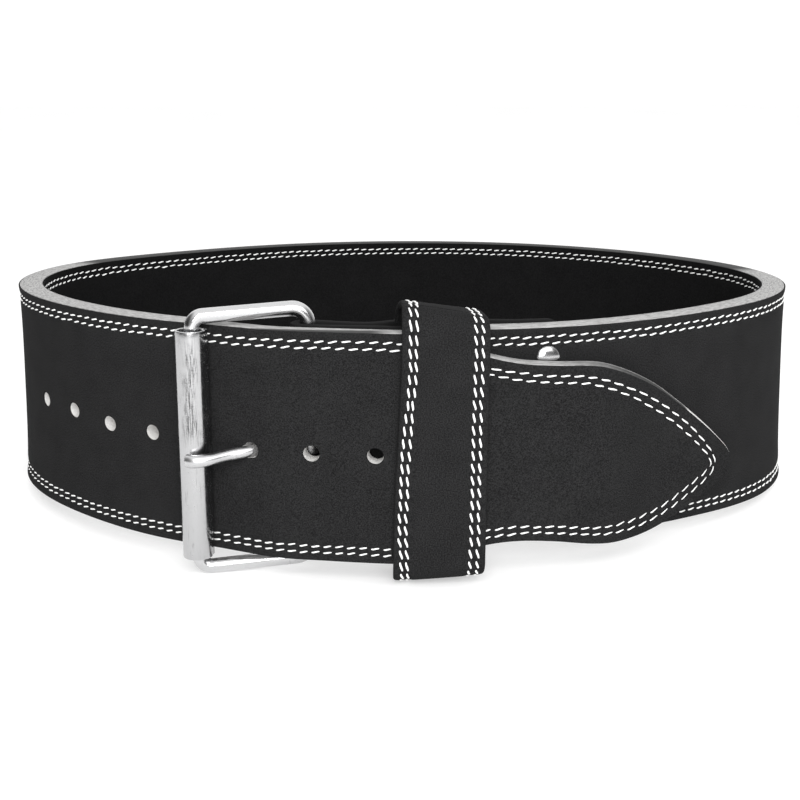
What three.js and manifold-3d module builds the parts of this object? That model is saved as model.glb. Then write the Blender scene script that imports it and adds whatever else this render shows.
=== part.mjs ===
import * as THREE from 'three';
import { mergeVertices } from 'three/addons/utils/BufferGeometryUtils.js';
import { ConvexHull } from 'three/addons/math/ConvexHull.js';
import Module from 'manifold-3d';

const wasm = await Module();
wasm.setup();

// A thick leather weightlifting belt, fastened, standing on its lower edge. Millimetres, +Z up.
// Stations are lengths along the strap's outer face, 0 at the middle of the front, rising to the right.

const gap = 0.3;

// strap
const waistHalfWidth = 201.2;
const waistHalfDepth = 161;
const strapWidth = 100;
const bodyThick = 12.4;
const tongueThick = 9.2;
const facingThick = 1.4;
const facingSetback = 0.4;
const rightLean = 4.6;
const leftLean = 2.4;
const bodyEnd = 2;
const tongueLength = 161;
const tongueTipWidth = 3;
const tongueDrop = 20;
const layerSlip = 7.5;

// prong holes
const holeDiameter = 7;
const holePitch = 26.35;
const firstHole = -10.1;

// buckle
const rodDiameter = 6.5;
const buckleLength = 48.8;
const frameClearance = 2.5;
const frameDrop = 0.5;
const frameTilt = 2.6;
const barCornerRadius = 6.8;
const rollerCornerRadius = 5.2;
const rollerStation = -86.7;
const rollerDiameter = 13;
const rollerWall = 1.6;
const rollerEndPlay = 2.3;
const rollerDrop = 1.8;
const prongDiameter = 5;
const prongEyeWall = 2.8;
const prongEyeWidth = 7;
const prongShort = 1.3;
const prongDrop = 3.1;
const prongPlay = 0.9;

// buckle fold
const foldThick = 4.2;
const foldInset = 0.8;
const foldTurn = { start: 280, end: 80, step: 25 };
const foldSlotMargin = 1.5;
const foldPinchGap = 3.6;
const flapEnd = 78;

// keeper loop
const keeperStart = -1;
const keeperWidth = 36.5;
const keeperThick = 3;
const keeperRiseStart = 7;
const keeperRiseEnd = 3.5;
const keeperCornerRadius = 7.8;

// rivets
const rivetHeadDiameter = 11;
const rivetHeadHeight = 1.8;
const rivetShankDiameter = 4.4;
const rivetBurrDiameter = 9;
const rivetBurrHeight = 1.2;
const rivetEdgeDistance = 13.4;
const rivetColumn = 63.2;
const rivetBarColumn = -17;

// Control polygon of the strap's outer face seen from above, as shares of the waist's half sizes.
const waistPolygon = [
  { across: -0.065, depth: -1.01 },
  { across: 0.35, depth: -0.98 },
  { across: 0.73, depth: -0.7 },
  { across: 0.995, depth: -0.325 },
  { across: 1.049, depth: 0.155 },
  { across: 0.835, depth: 0.61 },
  { across: 0.485, depth: 0.94 },
  { across: 0.06, depth: 1.035 },
  { across: -0.37, depth: 0.91 },
  { across: -0.72, depth: 0.585 },
  { across: -0.995, depth: 0.225 },
  { across: -1.01, depth: -0.27 },
  { across: -0.795, depth: -0.665 },
  { across: -0.46, depth: -0.97 },
];

// How the strap lifts off the waist line between roller (0) and keeper (1), as shares of its full lift.
const liftSections = [
  { along: -0.16, lift: 0 },
  { along: 0, lift: 0.01 },
  { along: 0.12, lift: 0.12 },
  { along: 0.26, lift: 0.34 },
  { along: 0.37, lift: 0.565 },
  { along: 0.475, lift: 0.66 },
  { along: 0.63, lift: 0.73 },
  { along: 0.82, lift: 0.87 },
  { along: 1, lift: 0.98 },
  { along: 1.2, lift: 1 },
  { along: 1.8, lift: 1 },
  { along: 2.9, lift: 0.93 },
];

// Edges of the strap from its buckle end (0) once round (1), as shares of its width.
const bodySections = [
  { along: 0, bottom: 0.052, top: 0.995 },
  { along: 0.045, bottom: 0.049, top: 0.995 },
  { along: 0.08, bottom: 0.039, top: 0.996 },
  { along: 0.115, bottom: 0.027, top: 0.998 },
  { along: 0.135, bottom: 0.021, top: 0.999 },
  { along: 0.15, bottom: 0.015, top: 1 },
  { along: 0.18, bottom: 0.005, top: 1 },
  { along: 0.21, bottom: 0, top: 1 },
  { along: 0.3, bottom: 0, top: 1 },
];

// Prong holes from the keeper's side: distance from the first in pitches, height as a share of the width.
const holeSections = [
  { along: 0, height: 0.479 },
  { along: 1.003, height: 0.478 },
  { along: 2, height: 0.472, inUse: true },
  { along: 2.93, height: 0.481 },
  { along: 3.886, height: 0.49 },
  { along: 4.896, height: 0.489 },
  { along: 5.936, height: 0.505 },
  { along: 7.01, height: 0.504 },
];

// Outline of the tongue from the keeper (0) to its tip (1): shares of strap width and of the tip's drop.
const tongueSections = [
  { along: 0, width: 1, drop: 0 },
  { along: 0.056, width: 0.99, drop: 0 },
  { along: 0.13, width: 0.915, drop: 0.02 },
  { along: 0.23, width: 0.818, drop: 0.055 },
  { along: 0.304, width: 0.78, drop: 0.1 },
  { along: 0.404, width: 0.778, drop: 0.175 },
  { along: 0.515, width: 0.796, drop: 0.295 },
  { along: 0.571, width: 0.778, drop: 0.385 },
  { along: 0.634, width: 0.727, drop: 0.475 },
  { along: 0.702, width: 0.646, drop: 0.57 },
  { along: 0.773, width: 0.53, drop: 0.675 },
  { along: 0.876, width: 0.34, drop: 0.81 },
  { along: 0.938, width: 0.215, drop: 0.9 },
  { along: 0.98, width: 0.115, drop: 0.97 },
];

const samplesPerSpan = 40;
const densities = { leather: 0.95e-6, steel: 7.85e-6 };

// The waist line: a closed cubic B-spline over the control polygon, measured by length.
function waistSamples() {
  const corners = waistPolygon.map((c) =>
    new THREE.Vector2(c.across * waistHalfWidth, (1 + c.depth) * waistHalfDepth));
  const points = [];
  corners.forEach((corner, i) => {
    const at = (k) => corners[(i + k + corners.length) % corners.length];
    for (let k = 0; k < samplesPerSpan; k += 1) {
      const u = k / samplesPerSpan;
      const ahead = -3 * u ** 3 + 3 * u ** 2 + 3 * u + 1;
      const weights = [(1 - u) ** 3, 3 * u ** 3 - 6 * u ** 2 + 4, ahead, u ** 3];
      const point = new THREE.Vector2();
      weights.forEach((w, j) => point.addScaledVector(at(j - 1), w / 6));
      points.push(point);
    }
  });
  return points;
}

const waist = waistSamples();
const waistSteps = waist.map((p, i) => p.distanceTo(waist[(i + 1) % waist.length]));
const waistLength = waistSteps.reduce((sum, step) => sum + step, 0);
const waistStations = stationsOf(waist);

// Station of each sample, with 0 where the line crosses the middle of the front.
function stationsOf(points) {
  const crossing = points.findIndex((p, i) => p.x < 0 && points[i + 1].x >= 0);
  const share = -points[crossing].x / (points[crossing + 1].x - points[crossing].x);
  let length = 0;
  const raw = waistSteps.map((step) => (length += step) - step);
  const start = raw[crossing] + share * waistSteps[crossing];
  return raw.map((r) => r - start);
}

// Point, tangent and outward normal of the waist line at a station.
function waistAt(station) {
  const first = waistStations[0];
  const wrapped = first + ((station - first) % waistLength + waistLength) % waistLength;
  let low = 0;
  let high = waist.length - 1;
  while (low < high) {
    const middle = Math.ceil((low + high) / 2);
    if (waistStations[middle] <= wrapped) low = middle;
    else high = middle - 1;
  }
  const at = (k) => waist[(low + k + waist.length) % waist.length];
  const share = (wrapped - waistStations[low]) / waistSteps[low];
  const point = at(0).clone().lerp(at(1), share);
  const back = at(1).clone().sub(at(-1)).normalize();
  const ahead = at(2).clone().sub(at(0)).normalize();
  const tangent = back.lerp(ahead, share).normalize();
  return { point, tangent, normal: new THREE.Vector2(tangent.y, -tangent.x) };
}

// The strap's sides stand a little wider at their lower edges than at their upper edges.
function leanAt(station) {
  const share = THREE.MathUtils.euclideanModulo(station, waistLength) / waistLength;
  const { smoothstep } = THREE.MathUtils;
  const right = smoothstep(share, 0.1, 0.19) * (1 - smoothstep(share, 0.26, 0.42));
  const left = smoothstep(share, 0.66, 0.77) * (1 - smoothstep(share, 0.785, 0.88));
  return rightLean * right + leftLean * left;
}

// A place on the belt: along the waist line, outward from it, and above the lower edge.
function onBelt(station, out, height) {
  const { point, normal } = waistAt(station);
  const reach = out + leanAt(station) * (1 - height / strapWidth);
  return new THREE.Vector3(point.x + normal.x * reach, point.y + normal.y * reach, height);
}

function table(rows, key, column) {
  const keys = rows.map((row) => row[key]);
  const interpolant = new THREE.CubicInterpolant(keys, rows.map((row) => row[column]), 1);
  return (x) => interpolant.evaluate(THREE.MathUtils.clamp(x, keys[0], keys[keys.length - 1]))[0];
}

// Thickness of the strap and its lift off the waist line. Round the waist both are those of the body.
const bodySection = table(liftSections, 'along', 'lift');
const rollerToKeeper = keeperStart - rollerStation;
const fullLift = tongueThick + rivetHeadHeight + gap;
const overlapStart = waistLength / 2;
const tongueTip = keeperStart + tongueLength;
const stackShare = (run) => (run - waistLength - rollerStation) / rollerToKeeper;

function liftAt(run) {
  return run < overlapStart ? 0 : bodySection(stackShare(run)) * fullLift;
}

function thicknessAt(run) {
  const share = run < overlapStart ? 0 : THREE.MathUtils.smoothstep(stackShare(run), -0.2, 0.2);
  return THREE.MathUtils.lerp(bodyThick, tongueThick, share);
}

const widthShare = table([...tongueSections, { along: 1, width: tongueTipWidth / strapWidth, drop: 1 }],
  'along', 'width');
const dropShare = table([...tongueSections, { along: 1, width: 0, drop: 1 }], 'along', 'drop');
const tongueShare = (run) => (run - waistLength - keeperStart) / tongueLength;

// Bent round the waist, the tongue's inner layers slide past its outer ones towards the tip.
const slipAt = (run, depth) => layerSlip * Math.max(tongueShare(run), 0) * (depth / tongueThick);

const bodyBottom = table(bodySections, 'along', 'bottom');
const bodyTop = table(bodySections, 'along', 'top');

function edgesAt(run) {
  if (run < overlapStart) {
    const along = run / waistLength;
    return { bottom: strapWidth * bodyBottom(along), top: strapWidth * bodyTop(along) };
  }
  const share = Math.max(tongueShare(run), 0);
  const width = strapWidth * widthShare(share);
  const middle = strapWidth / 2 - tongueDrop * dropShare(share);
  return { bottom: middle - width / 2, top: middle + width / 2 };
}

// Runs are lengths along the strap itself: from its buckle end, once round, to the tongue's tip.
const onOverlap = (station) => station + waistLength;

function strapRuns(from, to) {
  const bodyStep = 10;
  const tongueStep = 5;
  const tipStep = 1;
  const fineLead = 30;
  const runs = [from];
  while (runs[runs.length - 1] < to) {
    const last = runs[runs.length - 1];
    const left = to - last;
    const wanted = last < onOverlap(rollerStation - fineLead) ? bodyStep : tongueStep;
    const step = left < tongueStep + tipStep ? tipStep : wanted;
    runs.push(left < 1.5 * step ? to : last + step);
  }
  return runs;
}

// Geometry helpers
function solidOf(geometry) {
  const bare = new THREE.BufferGeometry();
  bare.setAttribute('position', geometry.getAttribute('position').clone());
  if (geometry.index) bare.setIndex(geometry.index.clone());
  const merged = mergeVertices(bare, 1e-4);
  return new wasm.Manifold(new wasm.Mesh({
    numProp: 3,
    vertProperties: new Float32Array(merged.getAttribute('position').array),
    triVerts: new Uint32Array(merged.index.array),
  }));
}

function geometryOf(solid) {
  const mesh = solid.getMesh();
  const indexed = new THREE.BufferGeometry();
  indexed.setAttribute('position', new THREE.BufferAttribute(new Float32Array(mesh.vertProperties), 3));
  indexed.setIndex(new THREE.BufferAttribute(new Uint32Array(mesh.triVerts), 1));
  const flat = indexed.toNonIndexed();
  flat.computeVertexNormals();
  return flat;
}

function cutBy(geometry, cutters) {
  const solid = cutters.reduce((rest, cutter) => rest.subtract(solidOf(cutter)), solidOf(geometry));
  return geometryOf(solid);
}

// A layer of the strap between two depths, bent from a flat box along the strap's run.
function strapLayer({ from, to, outer, inner, setback }) {
  const runs = strapRuns(from, to);
  const box = new THREE.BoxGeometry(1, 1, 1, runs.length - 1, 1, 1);
  const position = box.getAttribute('position');
  for (let i = 0; i < position.count; i += 1) {
    const index = Math.round((position.getX(i) + 0.5) * (runs.length - 1));
    const run = runs[index];
    const edges = edgesAt(run);
    const out = THREE.MathUtils.lerp(outer(run), inner(run), position.getY(i) + 0.5);
    const share = position.getZ(i) + 0.5;
    const height = THREE.MathUtils.lerp(edges.bottom + setback, edges.top - setback, share);
    const slip = slipAt(run, liftAt(run) - out);
    position.setXYZ(i, ...onBelt(run + slip, out, height).toArray());
  }
  return box;
}

// A round bar of any length between two points
function rodBetween(start, end, radius, sides = 12) {
  const rod = new THREE.CylinderGeometry(radius, radius, start.distanceTo(end), sides);
  const direction = end.clone().sub(start).normalize();
  rod.applyQuaternion(new THREE.Quaternion().setFromUnitVectors(new THREE.Vector3(0, 1, 0), direction));
  const middle = start.clone().add(end).multiplyScalar(0.5);
  return rod.translate(middle.x, middle.y, middle.z);
}

function circleShape(radius, sides) {
  const shape = new THREE.Shape();
  for (let i = 0; i < sides; i += 1) {
    const angle = (2 * Math.PI * i) / sides;
    const method = i === 0 ? 'moveTo' : 'lineTo';
    shape[method](radius * Math.cos(angle), radius * Math.sin(angle));
  }
  return shape;
}

// Prong holes go square through the strap, also where it climbs towards the keeper.
function holePlace({ along, height }) {
  const run = onOverlap(firstHole - along * holePitch);
  return { run, height: height * strapWidth };
}

function strapNormalAt(run) {
  const probe = 1;
  const { tangent, normal } = waistAt(run);
  const slope = (liftAt(run + probe) - liftAt(run - probe)) / (2 * probe);
  const plan = normal.clone().addScaledVector(tangent, -slope).normalize();
  return new THREE.Vector3(plan.x, plan.y, 0);
}

function holeCutters() {
  const reach = 3 * bodyThick;
  return holeSections.map(holePlace).map(({ run, height }) => {
    const mouth = onBelt(run, liftAt(run), height);
    const through = strapNormalAt(run).multiplyScalar(reach);
    return rodBetween(mouth.clone().add(through), mouth.clone().sub(through), holeDiameter / 2);
  });
}

// Buckle places: the bar sits in its fold just inside the tongue, the roller bears on the strap.
const rodRadius = rodDiameter / 2;
const barClear = gap;
const rollerOut = liftAt(onOverlap(rollerStation)) + gap + rollerDiameter / 2;
const rollerPlay = rollerDiameter / 2 - rollerWall - rodRadius - gap;
const rollerCentre = onBelt(rollerStation, rollerOut, 0);
const rollerRodCentre = onBelt(rollerStation, rollerOut - rollerPlay, 0);
const barCentre = barPlace();

// The bar's station and depth follow from each other, so they are settled in a few rounds.
function barPlace() {
  const foldRadius = rodRadius + barClear + foldThick;
  const rodOut = rollerOut - rollerPlay;
  let station = rollerStation + buckleLength;
  let out = 0;
  for (let round = 0; round < 6; round += 1) {
    const tongueInner = liftAt(onOverlap(station - foldRadius)) - tongueThick;
    out = tongueInner - gap - foldRadius;
    station = rollerStation + Math.sqrt(buckleLength ** 2 - (rodOut - out) ** 2);
  }
  const aim = onBelt(station, out, 0).sub(rollerRodCentre).normalize();
  return rollerRodCentre.clone().addScaledVector(aim, buckleLength);
}

const frameHalf = strapWidth / 2 + frameClearance + rodRadius;
const frameMiddles = {
  roller: strapWidth / 2 - frameDrop - frameTilt / 2,
  bar: strapWidth / 2 - frameDrop + frameTilt / 2,
};
const raised = (plan, height) => new THREE.Vector3(plan.x, plan.y, height);

// The frame is one bent rod, closed in itself.
function buckleFrameGeometry() {
  const along = barCentre.clone().sub(rollerRodCentre).normalize();
  const corner = (plan, inward, reach, height, vertical) => {
    const sharp = raised(plan, height);
    const side = sharp.clone().addScaledVector(inward, reach);
    const end = sharp.clone().setZ(height + vertical * reach);
    return { sharp, side, end };
  };
  const back = along.clone().negate();
  const { roller, bar } = frameMiddles;
  const rollerLow = corner(rollerRodCentre, along, rollerCornerRadius, roller - frameHalf, 1);
  const rollerHigh = corner(rollerRodCentre, along, rollerCornerRadius, roller + frameHalf, -1);
  const barHigh = corner(barCentre, back, barCornerRadius, bar + frameHalf, -1);
  const barLow = corner(barCentre, back, barCornerRadius, bar - frameHalf, 1);
  const rounding = 0.448;
  const bend = (from, sharp, to) => new THREE.CubicBezierCurve3(
    from, sharp.clone().lerp(from, rounding), sharp.clone().lerp(to, rounding), to);
  const path = new THREE.CurvePath();
  path.add(new THREE.LineCurve3(rollerLow.end, rollerHigh.end));
  path.add(bend(rollerHigh.end, rollerHigh.sharp, rollerHigh.side));
  path.add(new THREE.LineCurve3(rollerHigh.side, barHigh.side));
  path.add(bend(barHigh.side, barHigh.sharp, barHigh.end));
  path.add(new THREE.LineCurve3(barHigh.end, barLow.end));
  path.add(bend(barLow.end, barLow.sharp, barLow.side));
  path.add(new THREE.LineCurve3(barLow.side, rollerLow.side));
  path.add(bend(rollerLow.side, rollerLow.sharp, rollerLow.end));
  return geometryOf(solidOf(new THREE.TubeGeometry(path, 72, rodRadius, 10, true)));
}

function buckleRollerGeometry() {
  const outer = rollerDiameter / 2;
  const inner = outer - rollerWall;
  const middle = strapWidth / 2 - rollerDrop;
  const half = frameHalf - rodRadius - rollerEndPlay;
  const low = middle - half;
  const high = middle + half;
  const profile = [[inner, low], [outer, low], [outer, high], [inner, high], [inner, low]]
    .map(([radius, height]) => new THREE.Vector2(radius, height));
  return new THREE.LatheGeometry(profile, 20).rotateX(Math.PI / 2)
    .translate(rollerCentre.x, rollerCentre.y, 0);
}

// Prong: an eye round the bar, then a rod that passes through its hole and lies on the roller.
const prongRadius = prongDiameter / 2;
const { run: prongHole, height: prongHeight } = holePlace(holeSections.find((hole) => hole.inUse));

function prongRoute() {
  const eyeHeight = prongHeight;
  const tipHeight = prongHeight - prongDrop;
  const back = rollerRodCentre.clone().sub(barCentre).normalize();
  const outward = new THREE.Vector3(back.y, -back.x, 0).multiplyScalar(-1);
  const eyeReach = rodRadius + gap + prongRadius;
  const inside = liftAt(prongHole) - tongueThick;
  const rest = rollerDiameter / 2 + gap + prongRadius;
  const { tangent } = waistAt(rollerStation);
  const overRoller = onBelt(rollerStation, rollerOut + rest, tipHeight);
  const alongRoller = new THREE.Vector3(tangent.x, tangent.y, 0);
  return new THREE.CatmullRomCurve3([
    raised(barCentre.clone().addScaledVector(back, eyeReach), eyeHeight),
    onBelt(prongHole + 1.5 * holeDiameter, inside - 0.9 * prongRadius, eyeHeight),
    onBelt(prongHole + 0.5 * holeDiameter, inside + 0.25 * tongueThick, eyeHeight),
    onBelt(prongHole - 0.2 * holeDiameter, inside + 0.9 * tongueThick,
      THREE.MathUtils.lerp(eyeHeight, tipHeight, 0.25)),
    onBelt(prongHole - 1.2 * holeDiameter, inside + tongueThick + 1.3 * prongRadius,
      THREE.MathUtils.lerp(eyeHeight, tipHeight, 0.55)),
    overRoller.clone().addScaledVector(alongRoller, prongRadius + rollerDiameter / 4),
    overRoller.clone().addScaledVector(alongRoller, prongShort),
  ], false, 'centripetal');
}

function prongShank(radius) {
  return new THREE.ExtrudeGeometry(circleShape(radius, 8), { steps: 36, extrudePath: prongRoute() });
}

function prongEye() {
  const inner = rodRadius + gap;
  const outer = inner + prongEyeWall;
  const profile = [[inner, 0], [outer, 0], [outer, prongEyeWidth], [inner, prongEyeWidth], [inner, 0]]
    .map(([radius, height]) => new THREE.Vector2(radius, height - prongEyeWidth / 2));
  return new THREE.LatheGeometry(profile, 20).rotateX(Math.PI / 2)
    .translate(barCentre.x, barCentre.y, prongHeight);
}

function barBore() {
  const low = raised(barCentre, frameMiddles.bar - frameHalf);
  const high = raised(barCentre, frameMiddles.bar + frameHalf);
  return rodBetween(low, high, rodRadius + gap, 20);
}

function buckleProngGeometry() {
  const whole = solidOf(prongShank(prongRadius)).add(solidOf(prongEye())).subtract(solidOf(barBore()));
  return geometryOf(whole);
}

// Buckle fold: inside the strap, under the keeper's back, round the bar, and back to the strap's end.
const foldDepths = {
  onStrap: -bodyThick - gap - foldThick / 2,
  underKeeper: -bodyThick - gap - keeperThick - gap - foldThick / 2,
};

const keeperEnd = keeperStart + keeperWidth;
const barPinch = pinchDepths();

// Where the rivets by the bar draw the fold's two legs together, just inside the tongue
function pinchDepths() {
  const tongueInner = liftAt(onOverlap(rivetBarColumn)) - tongueThick;
  const outer = tongueInner - gap - rivetHeadHeight - foldThick / 2;
  return { outer, inner: outer - foldThick - foldPinchGap };
}

function innerLegDepth(station) {
  const { smoothstep, lerp } = THREE.MathUtils;
  if (station > keeperStart) {
    const share = smoothstep(station, keeperEnd + gap, rivetColumn - rivetBurrDiameter / 2);
    return lerp(foldDepths.underKeeper, foldDepths.onStrap, share);
  }
  const share = smoothstep(station, rivetBarColumn + rivetHeadDiameter / 2, keeperStart);
  return lerp(barPinch.inner, foldDepths.underKeeper, share);
}

function outerLegDepth(station) {
  const share = THREE.MathUtils.smoothstep(station, rivetBarColumn + rivetHeadDiameter / 2, bodyEnd);
  return THREE.MathUtils.lerp(barPinch.outer, -foldThick / 2, share);
}

function stationsBetween(from, to, step) {
  const count = Math.ceil(Math.abs(to - from) / step);
  return Array.from({ length: count + 1 }, (_, k) => THREE.MathUtils.lerp(from, to, k / count));
}

function foldRoute() {
  const radius = rodRadius + barClear + foldThick / 2;
  const { tangent, normal } = waistAt(rollerStation + buckleLength);
  const turn = (degrees) => {
    const angle = THREE.MathUtils.degToRad(degrees);
    const along = Math.cos(angle) * radius;
    const out = Math.sin(angle) * radius;
    return barCentre.clone().add(new THREE.Vector3(
      tangent.x * along + normal.x * out, tangent.y * along + normal.y * out, 0));
  };
  const flatEnd = rivetBarColumn - rivetHeadDiameter / 2;
  return new THREE.CatmullRomCurve3([
    ...stationsBetween(flapEnd, flatEnd, 4).map((s) => onBelt(s, innerLegDepth(s), 0)),
    ...stationsBetween(foldTurn.start, foldTurn.end, foldTurn.step).map(turn),
    ...stationsBetween(flatEnd, bodyEnd - gap, 4).map((s) => onBelt(s, outerLegDepth(s), 0)),
  ], false, 'centripetal');
}

function buckleFoldGeometry() {
  const section = new THREE.Shape();
  const half = foldThick / 2;
  const edges = edgesAt(bodyEnd);
  const halfWidth = (edges.top - edges.bottom) / 2 - foldInset;
  section.moveTo(-halfWidth, -half);
  section.lineTo(halfWidth, -half);
  section.lineTo(halfWidth, half);
  section.lineTo(-halfWidth, half);
  const band = new THREE.ExtrudeGeometry(section, { steps: 104, extrudePath: foldRoute() });
  band.translate(0, 0, (edges.top + edges.bottom) / 2);
  const eyeReach = rodRadius + gap + prongEyeWall + foldSlotMargin;
  const slot = new THREE.BoxGeometry(2 * eyeReach, 6 * foldThick + rodDiameter,
    prongEyeWidth + 2 * foldSlotMargin);
  slot.translate(barCentre.x - foldSlotMargin, barCentre.y, prongHeight);
  return cutBy(band, [slot, ...rivetCutters()]);
}

// Keeper loop: a ring round tongue and body, drawn in depth and height and carried along the strap.
function keeperLoopGeometry() {
  const outerFace = fullLift + gap + keeperThick;
  const innerFace = -bodyThick - gap - keeperThick;
  const depth = outerFace - innerFace;
  const ringShape = (inset) => {
    const radius = keeperCornerRadius - inset;
    const side = depth / 2 - inset;
    const arcs = [[1, 1, 0], [-1, 1, 90], [-1, -1, 180], [1, -1, 270]];
    return arcs.flatMap(([across, up, start]) => Array.from({ length: 5 }, (_, k) => {
      const angle = THREE.MathUtils.degToRad(start + 22.5 * k);
      return {
        out: across * (side - radius) + radius * Math.cos(angle),
        up,
        rise: radius * (Math.sin(angle) - up),
      };
    }));
  };
  return keeperBand(ringShape(0), ringShape(keeperThick), (outerFace + innerFace) / 2);
}

function keeperOuterHeight(share) {
  return strapWidth + 2 * (keeperThick + keeperSlack(share));
}

function keeperSlack(share) {
  return THREE.MathUtils.lerp(keeperRiseStart, keeperRiseEnd, share);
}

function keeperBand(outerRing, innerRing, middleOut) {
  const steps = 6;
  const place = (corner, inset) => (step) => {
    const share = step / steps;
    const half = keeperOuterHeight(share) / 2 - inset;
    const height = strapWidth / 2 + corner.up * half + corner.rise;
    return onBelt(keeperStart + share * keeperWidth, middleOut + corner.out, height);
  };
  const outerPlaces = outerRing.map((corner) => place(corner, 0));
  const innerPlaces = innerRing.map((corner) => place(corner, keeperThick));
  const solid = solidOf(ribbed(outerPlaces, steps)).subtract(solidOf(ribbed(innerPlaces, steps, 0.1)));
  return geometryOf(solid);
}

// A solid with the given outline at each step; an overhang lengthens it past both ends.
function ribbed(places, steps, overhang = 0) {
  const outline = places.map((_, i) => new THREE.Vector2(
    Math.cos((2 * Math.PI * i) / places.length), Math.sin((2 * Math.PI * i) / places.length)));
  const prism = new THREE.ExtrudeGeometry(new THREE.Shape(outline),
    { depth: 1, steps, bevelEnabled: false });
  const position = prism.getAttribute('position');
  for (let i = 0; i < position.count; i += 1) {
    const angle = Math.atan2(position.getY(i), position.getX(i));
    const index = Math.round((angle / (2 * Math.PI)) * places.length + places.length) % places.length;
    const share = 1 - position.getZ(i);
    const step = share * steps + (2 * share - 1) * overhang;
    position.setXYZ(i, ...places[index](step).toArray());
  }
  return prism;
}

// Rivets: a domed head outside, a shank through the leather, and a flat burr inside.
function rivetPlaces() {
  const outerPinch = barPinch.outer + foldThick / 2;
  const innerPinch = barPinch.inner - foldThick / 2;
  const onStrap = foldDepths.onStrap - foldThick / 2;
  const edges = edgesAt(bodyEnd);
  const heights = { upper: edges.top - rivetEdgeDistance, lower: edges.bottom + rivetEdgeDistance };
  return Object.entries(heights).flatMap(([level, height]) => [
    { name: `rivet_strap_${level}`, station: rivetColumn, outer: 0, inner: onStrap, height },
    { name: `rivet_bar_${level}`, station: rivetBarColumn, outer: outerPinch, inner: innerPinch, height },
  ]);
}

function rivetGeometry({ station, outer, inner, height }) {
  const head = rivetHeadDiameter / 2;
  const shank = rivetShankDiameter / 2;
  const burr = rivetBurrDiameter / 2;
  const seat = gap / 2;
  const length = outer - inner + 2 * seat;
  const dome = Array.from({ length: 4 }, (_, k) => {
    const angle = (Math.PI / 2) * (k / 3);
    return [head * Math.cos(angle), length + (rivetHeadHeight - seat) * Math.sin(angle)];
  });
  const profile = [[0, -rivetBurrHeight], [burr, -rivetBurrHeight], [burr, 0], [shank, 0], [shank, length],
    ...dome];
  const points = profile.map(([radius, along]) => new THREE.Vector2(Math.max(radius, 0), along));
  points[points.length - 1].x = 0;
  const lathe = new THREE.LatheGeometry(points, 14);
  const { normal } = waistAt(station);
  const axis = new THREE.Vector3(normal.x, normal.y, 0);
  lathe.applyQuaternion(new THREE.Quaternion().setFromUnitVectors(new THREE.Vector3(0, 1, 0), axis));
  const start = onBelt(station, inner - seat, height);
  lathe.translate(start.x, start.y, start.z);
  return lathe;
}

function rivetCutters() {
  return rivetPlaces().map(({ station, outer, inner, height }) => rodBetween(
    onBelt(station, outer + 2 * gap, height), onBelt(station, inner - foldThick, height),
    rivetShankDiameter / 2 + gap, 10));
}

// Strap layers, with holes for prong and rivets
function strapPieces() {
  const from = bodyEnd;
  const to = onOverlap(tongueTip);
  const cutters = [...holeCutters(), prongShank(prongRadius + prongPlay), ...rivetCutters()];
  const outerFace = (run) => liftAt(run);
  const innerFace = (run) => liftAt(run) - thicknessAt(run);
  const shifted = (face, by) => (run) => face(run) + by;
  const inset = facingSetback;
  const layers = {
    belt_core: {
      from, to, setback: 0,
      outer: shifted(outerFace, -facingThick - gap), inner: shifted(innerFace, facingThick + gap),
    },
    belt_outer_facing: {
      from: from + inset, to: to - inset, setback: inset,
      outer: outerFace, inner: shifted(outerFace, -facingThick),
    },
    belt_inner_facing: {
      from: from + inset, to: to - inset, setback: inset,
      outer: shifted(innerFace, facingThick), inner: innerFace,
    },
  };
  return Object.entries(layers).map(([name, layer]) => [name, cutBy(strapLayer(layer), cutters)]);
}

// Materials
const finishes = {
  suede: { color: 0x1c1b1c, roughness: 0.95, metalness: 0 },
  rawLeather: { color: 0xb9b4ac, roughness: 0.85, metalness: 0 },
  steel: { color: 0xc9ccd0, roughness: 0.25, metalness: 1 },
};

const leatherKind = { density: densities.leather };
const steelKind = { density: densities.steel, finish: 'steel' };

function piece(name, geometry, { density, finish }) {
  const mesh = new THREE.Mesh(geometry, new THREE.MeshStandardMaterial(finishes[finish]));
  mesh.name = name;
  mesh.userData.density = density;
  return mesh;
}

function beltPieces() {
  const strapFinish = { belt_core: 'rawLeather', belt_outer_facing: 'suede', belt_inner_facing: 'suede' };
  const strap = strapPieces().map(([name, geometry]) =>
    piece(name, geometry, { ...leatherKind, finish: strapFinish[name] }));
  const rivets = rivetPlaces().map((place) => piece(place.name, rivetGeometry(place), steelKind));
  return [
    ...strap,
    piece('buckle_fold', buckleFoldGeometry(), { ...leatherKind, finish: 'suede' }),
    piece('keeper_loop', keeperLoopGeometry(), { ...leatherKind, finish: 'suede' }),
    piece('buckle_frame', buckleFrameGeometry(), steelKind),
    piece('buckle_roller', buckleRollerGeometry(), steelKind),
    piece('buckle_prong', buckleProngGeometry(), steelKind),
    ...rivets,
  ];
}

// Resting place: the belt stands on the facet of its hull that lies under its centre of mass.
function cornersOf(geometry) {
  const flat = geometry.index ? geometry.toNonIndexed() : geometry;
  const position = flat.getAttribute('position');
  const corner = (_, i) => new THREE.Vector3().fromBufferAttribute(position, i);
  return Array.from({ length: position.count }, corner);
}

function centreOfMass(meshes) {
  const centre = new THREE.Vector3();
  let mass = 0;
  meshes.forEach((mesh) => {
    const corners = cornersOf(mesh.geometry);
    for (let i = 0; i < corners.length; i += 3) {
      const [a, b, c] = corners.slice(i, i + 3);
      const share = (a.dot(b.clone().cross(c)) / 6) * mesh.userData.density;
      mass += share;
      centre.addScaledVector(a.clone().add(b).add(c), share / 4);
    }
  });
  return centre.divideScalar(mass);
}

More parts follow.
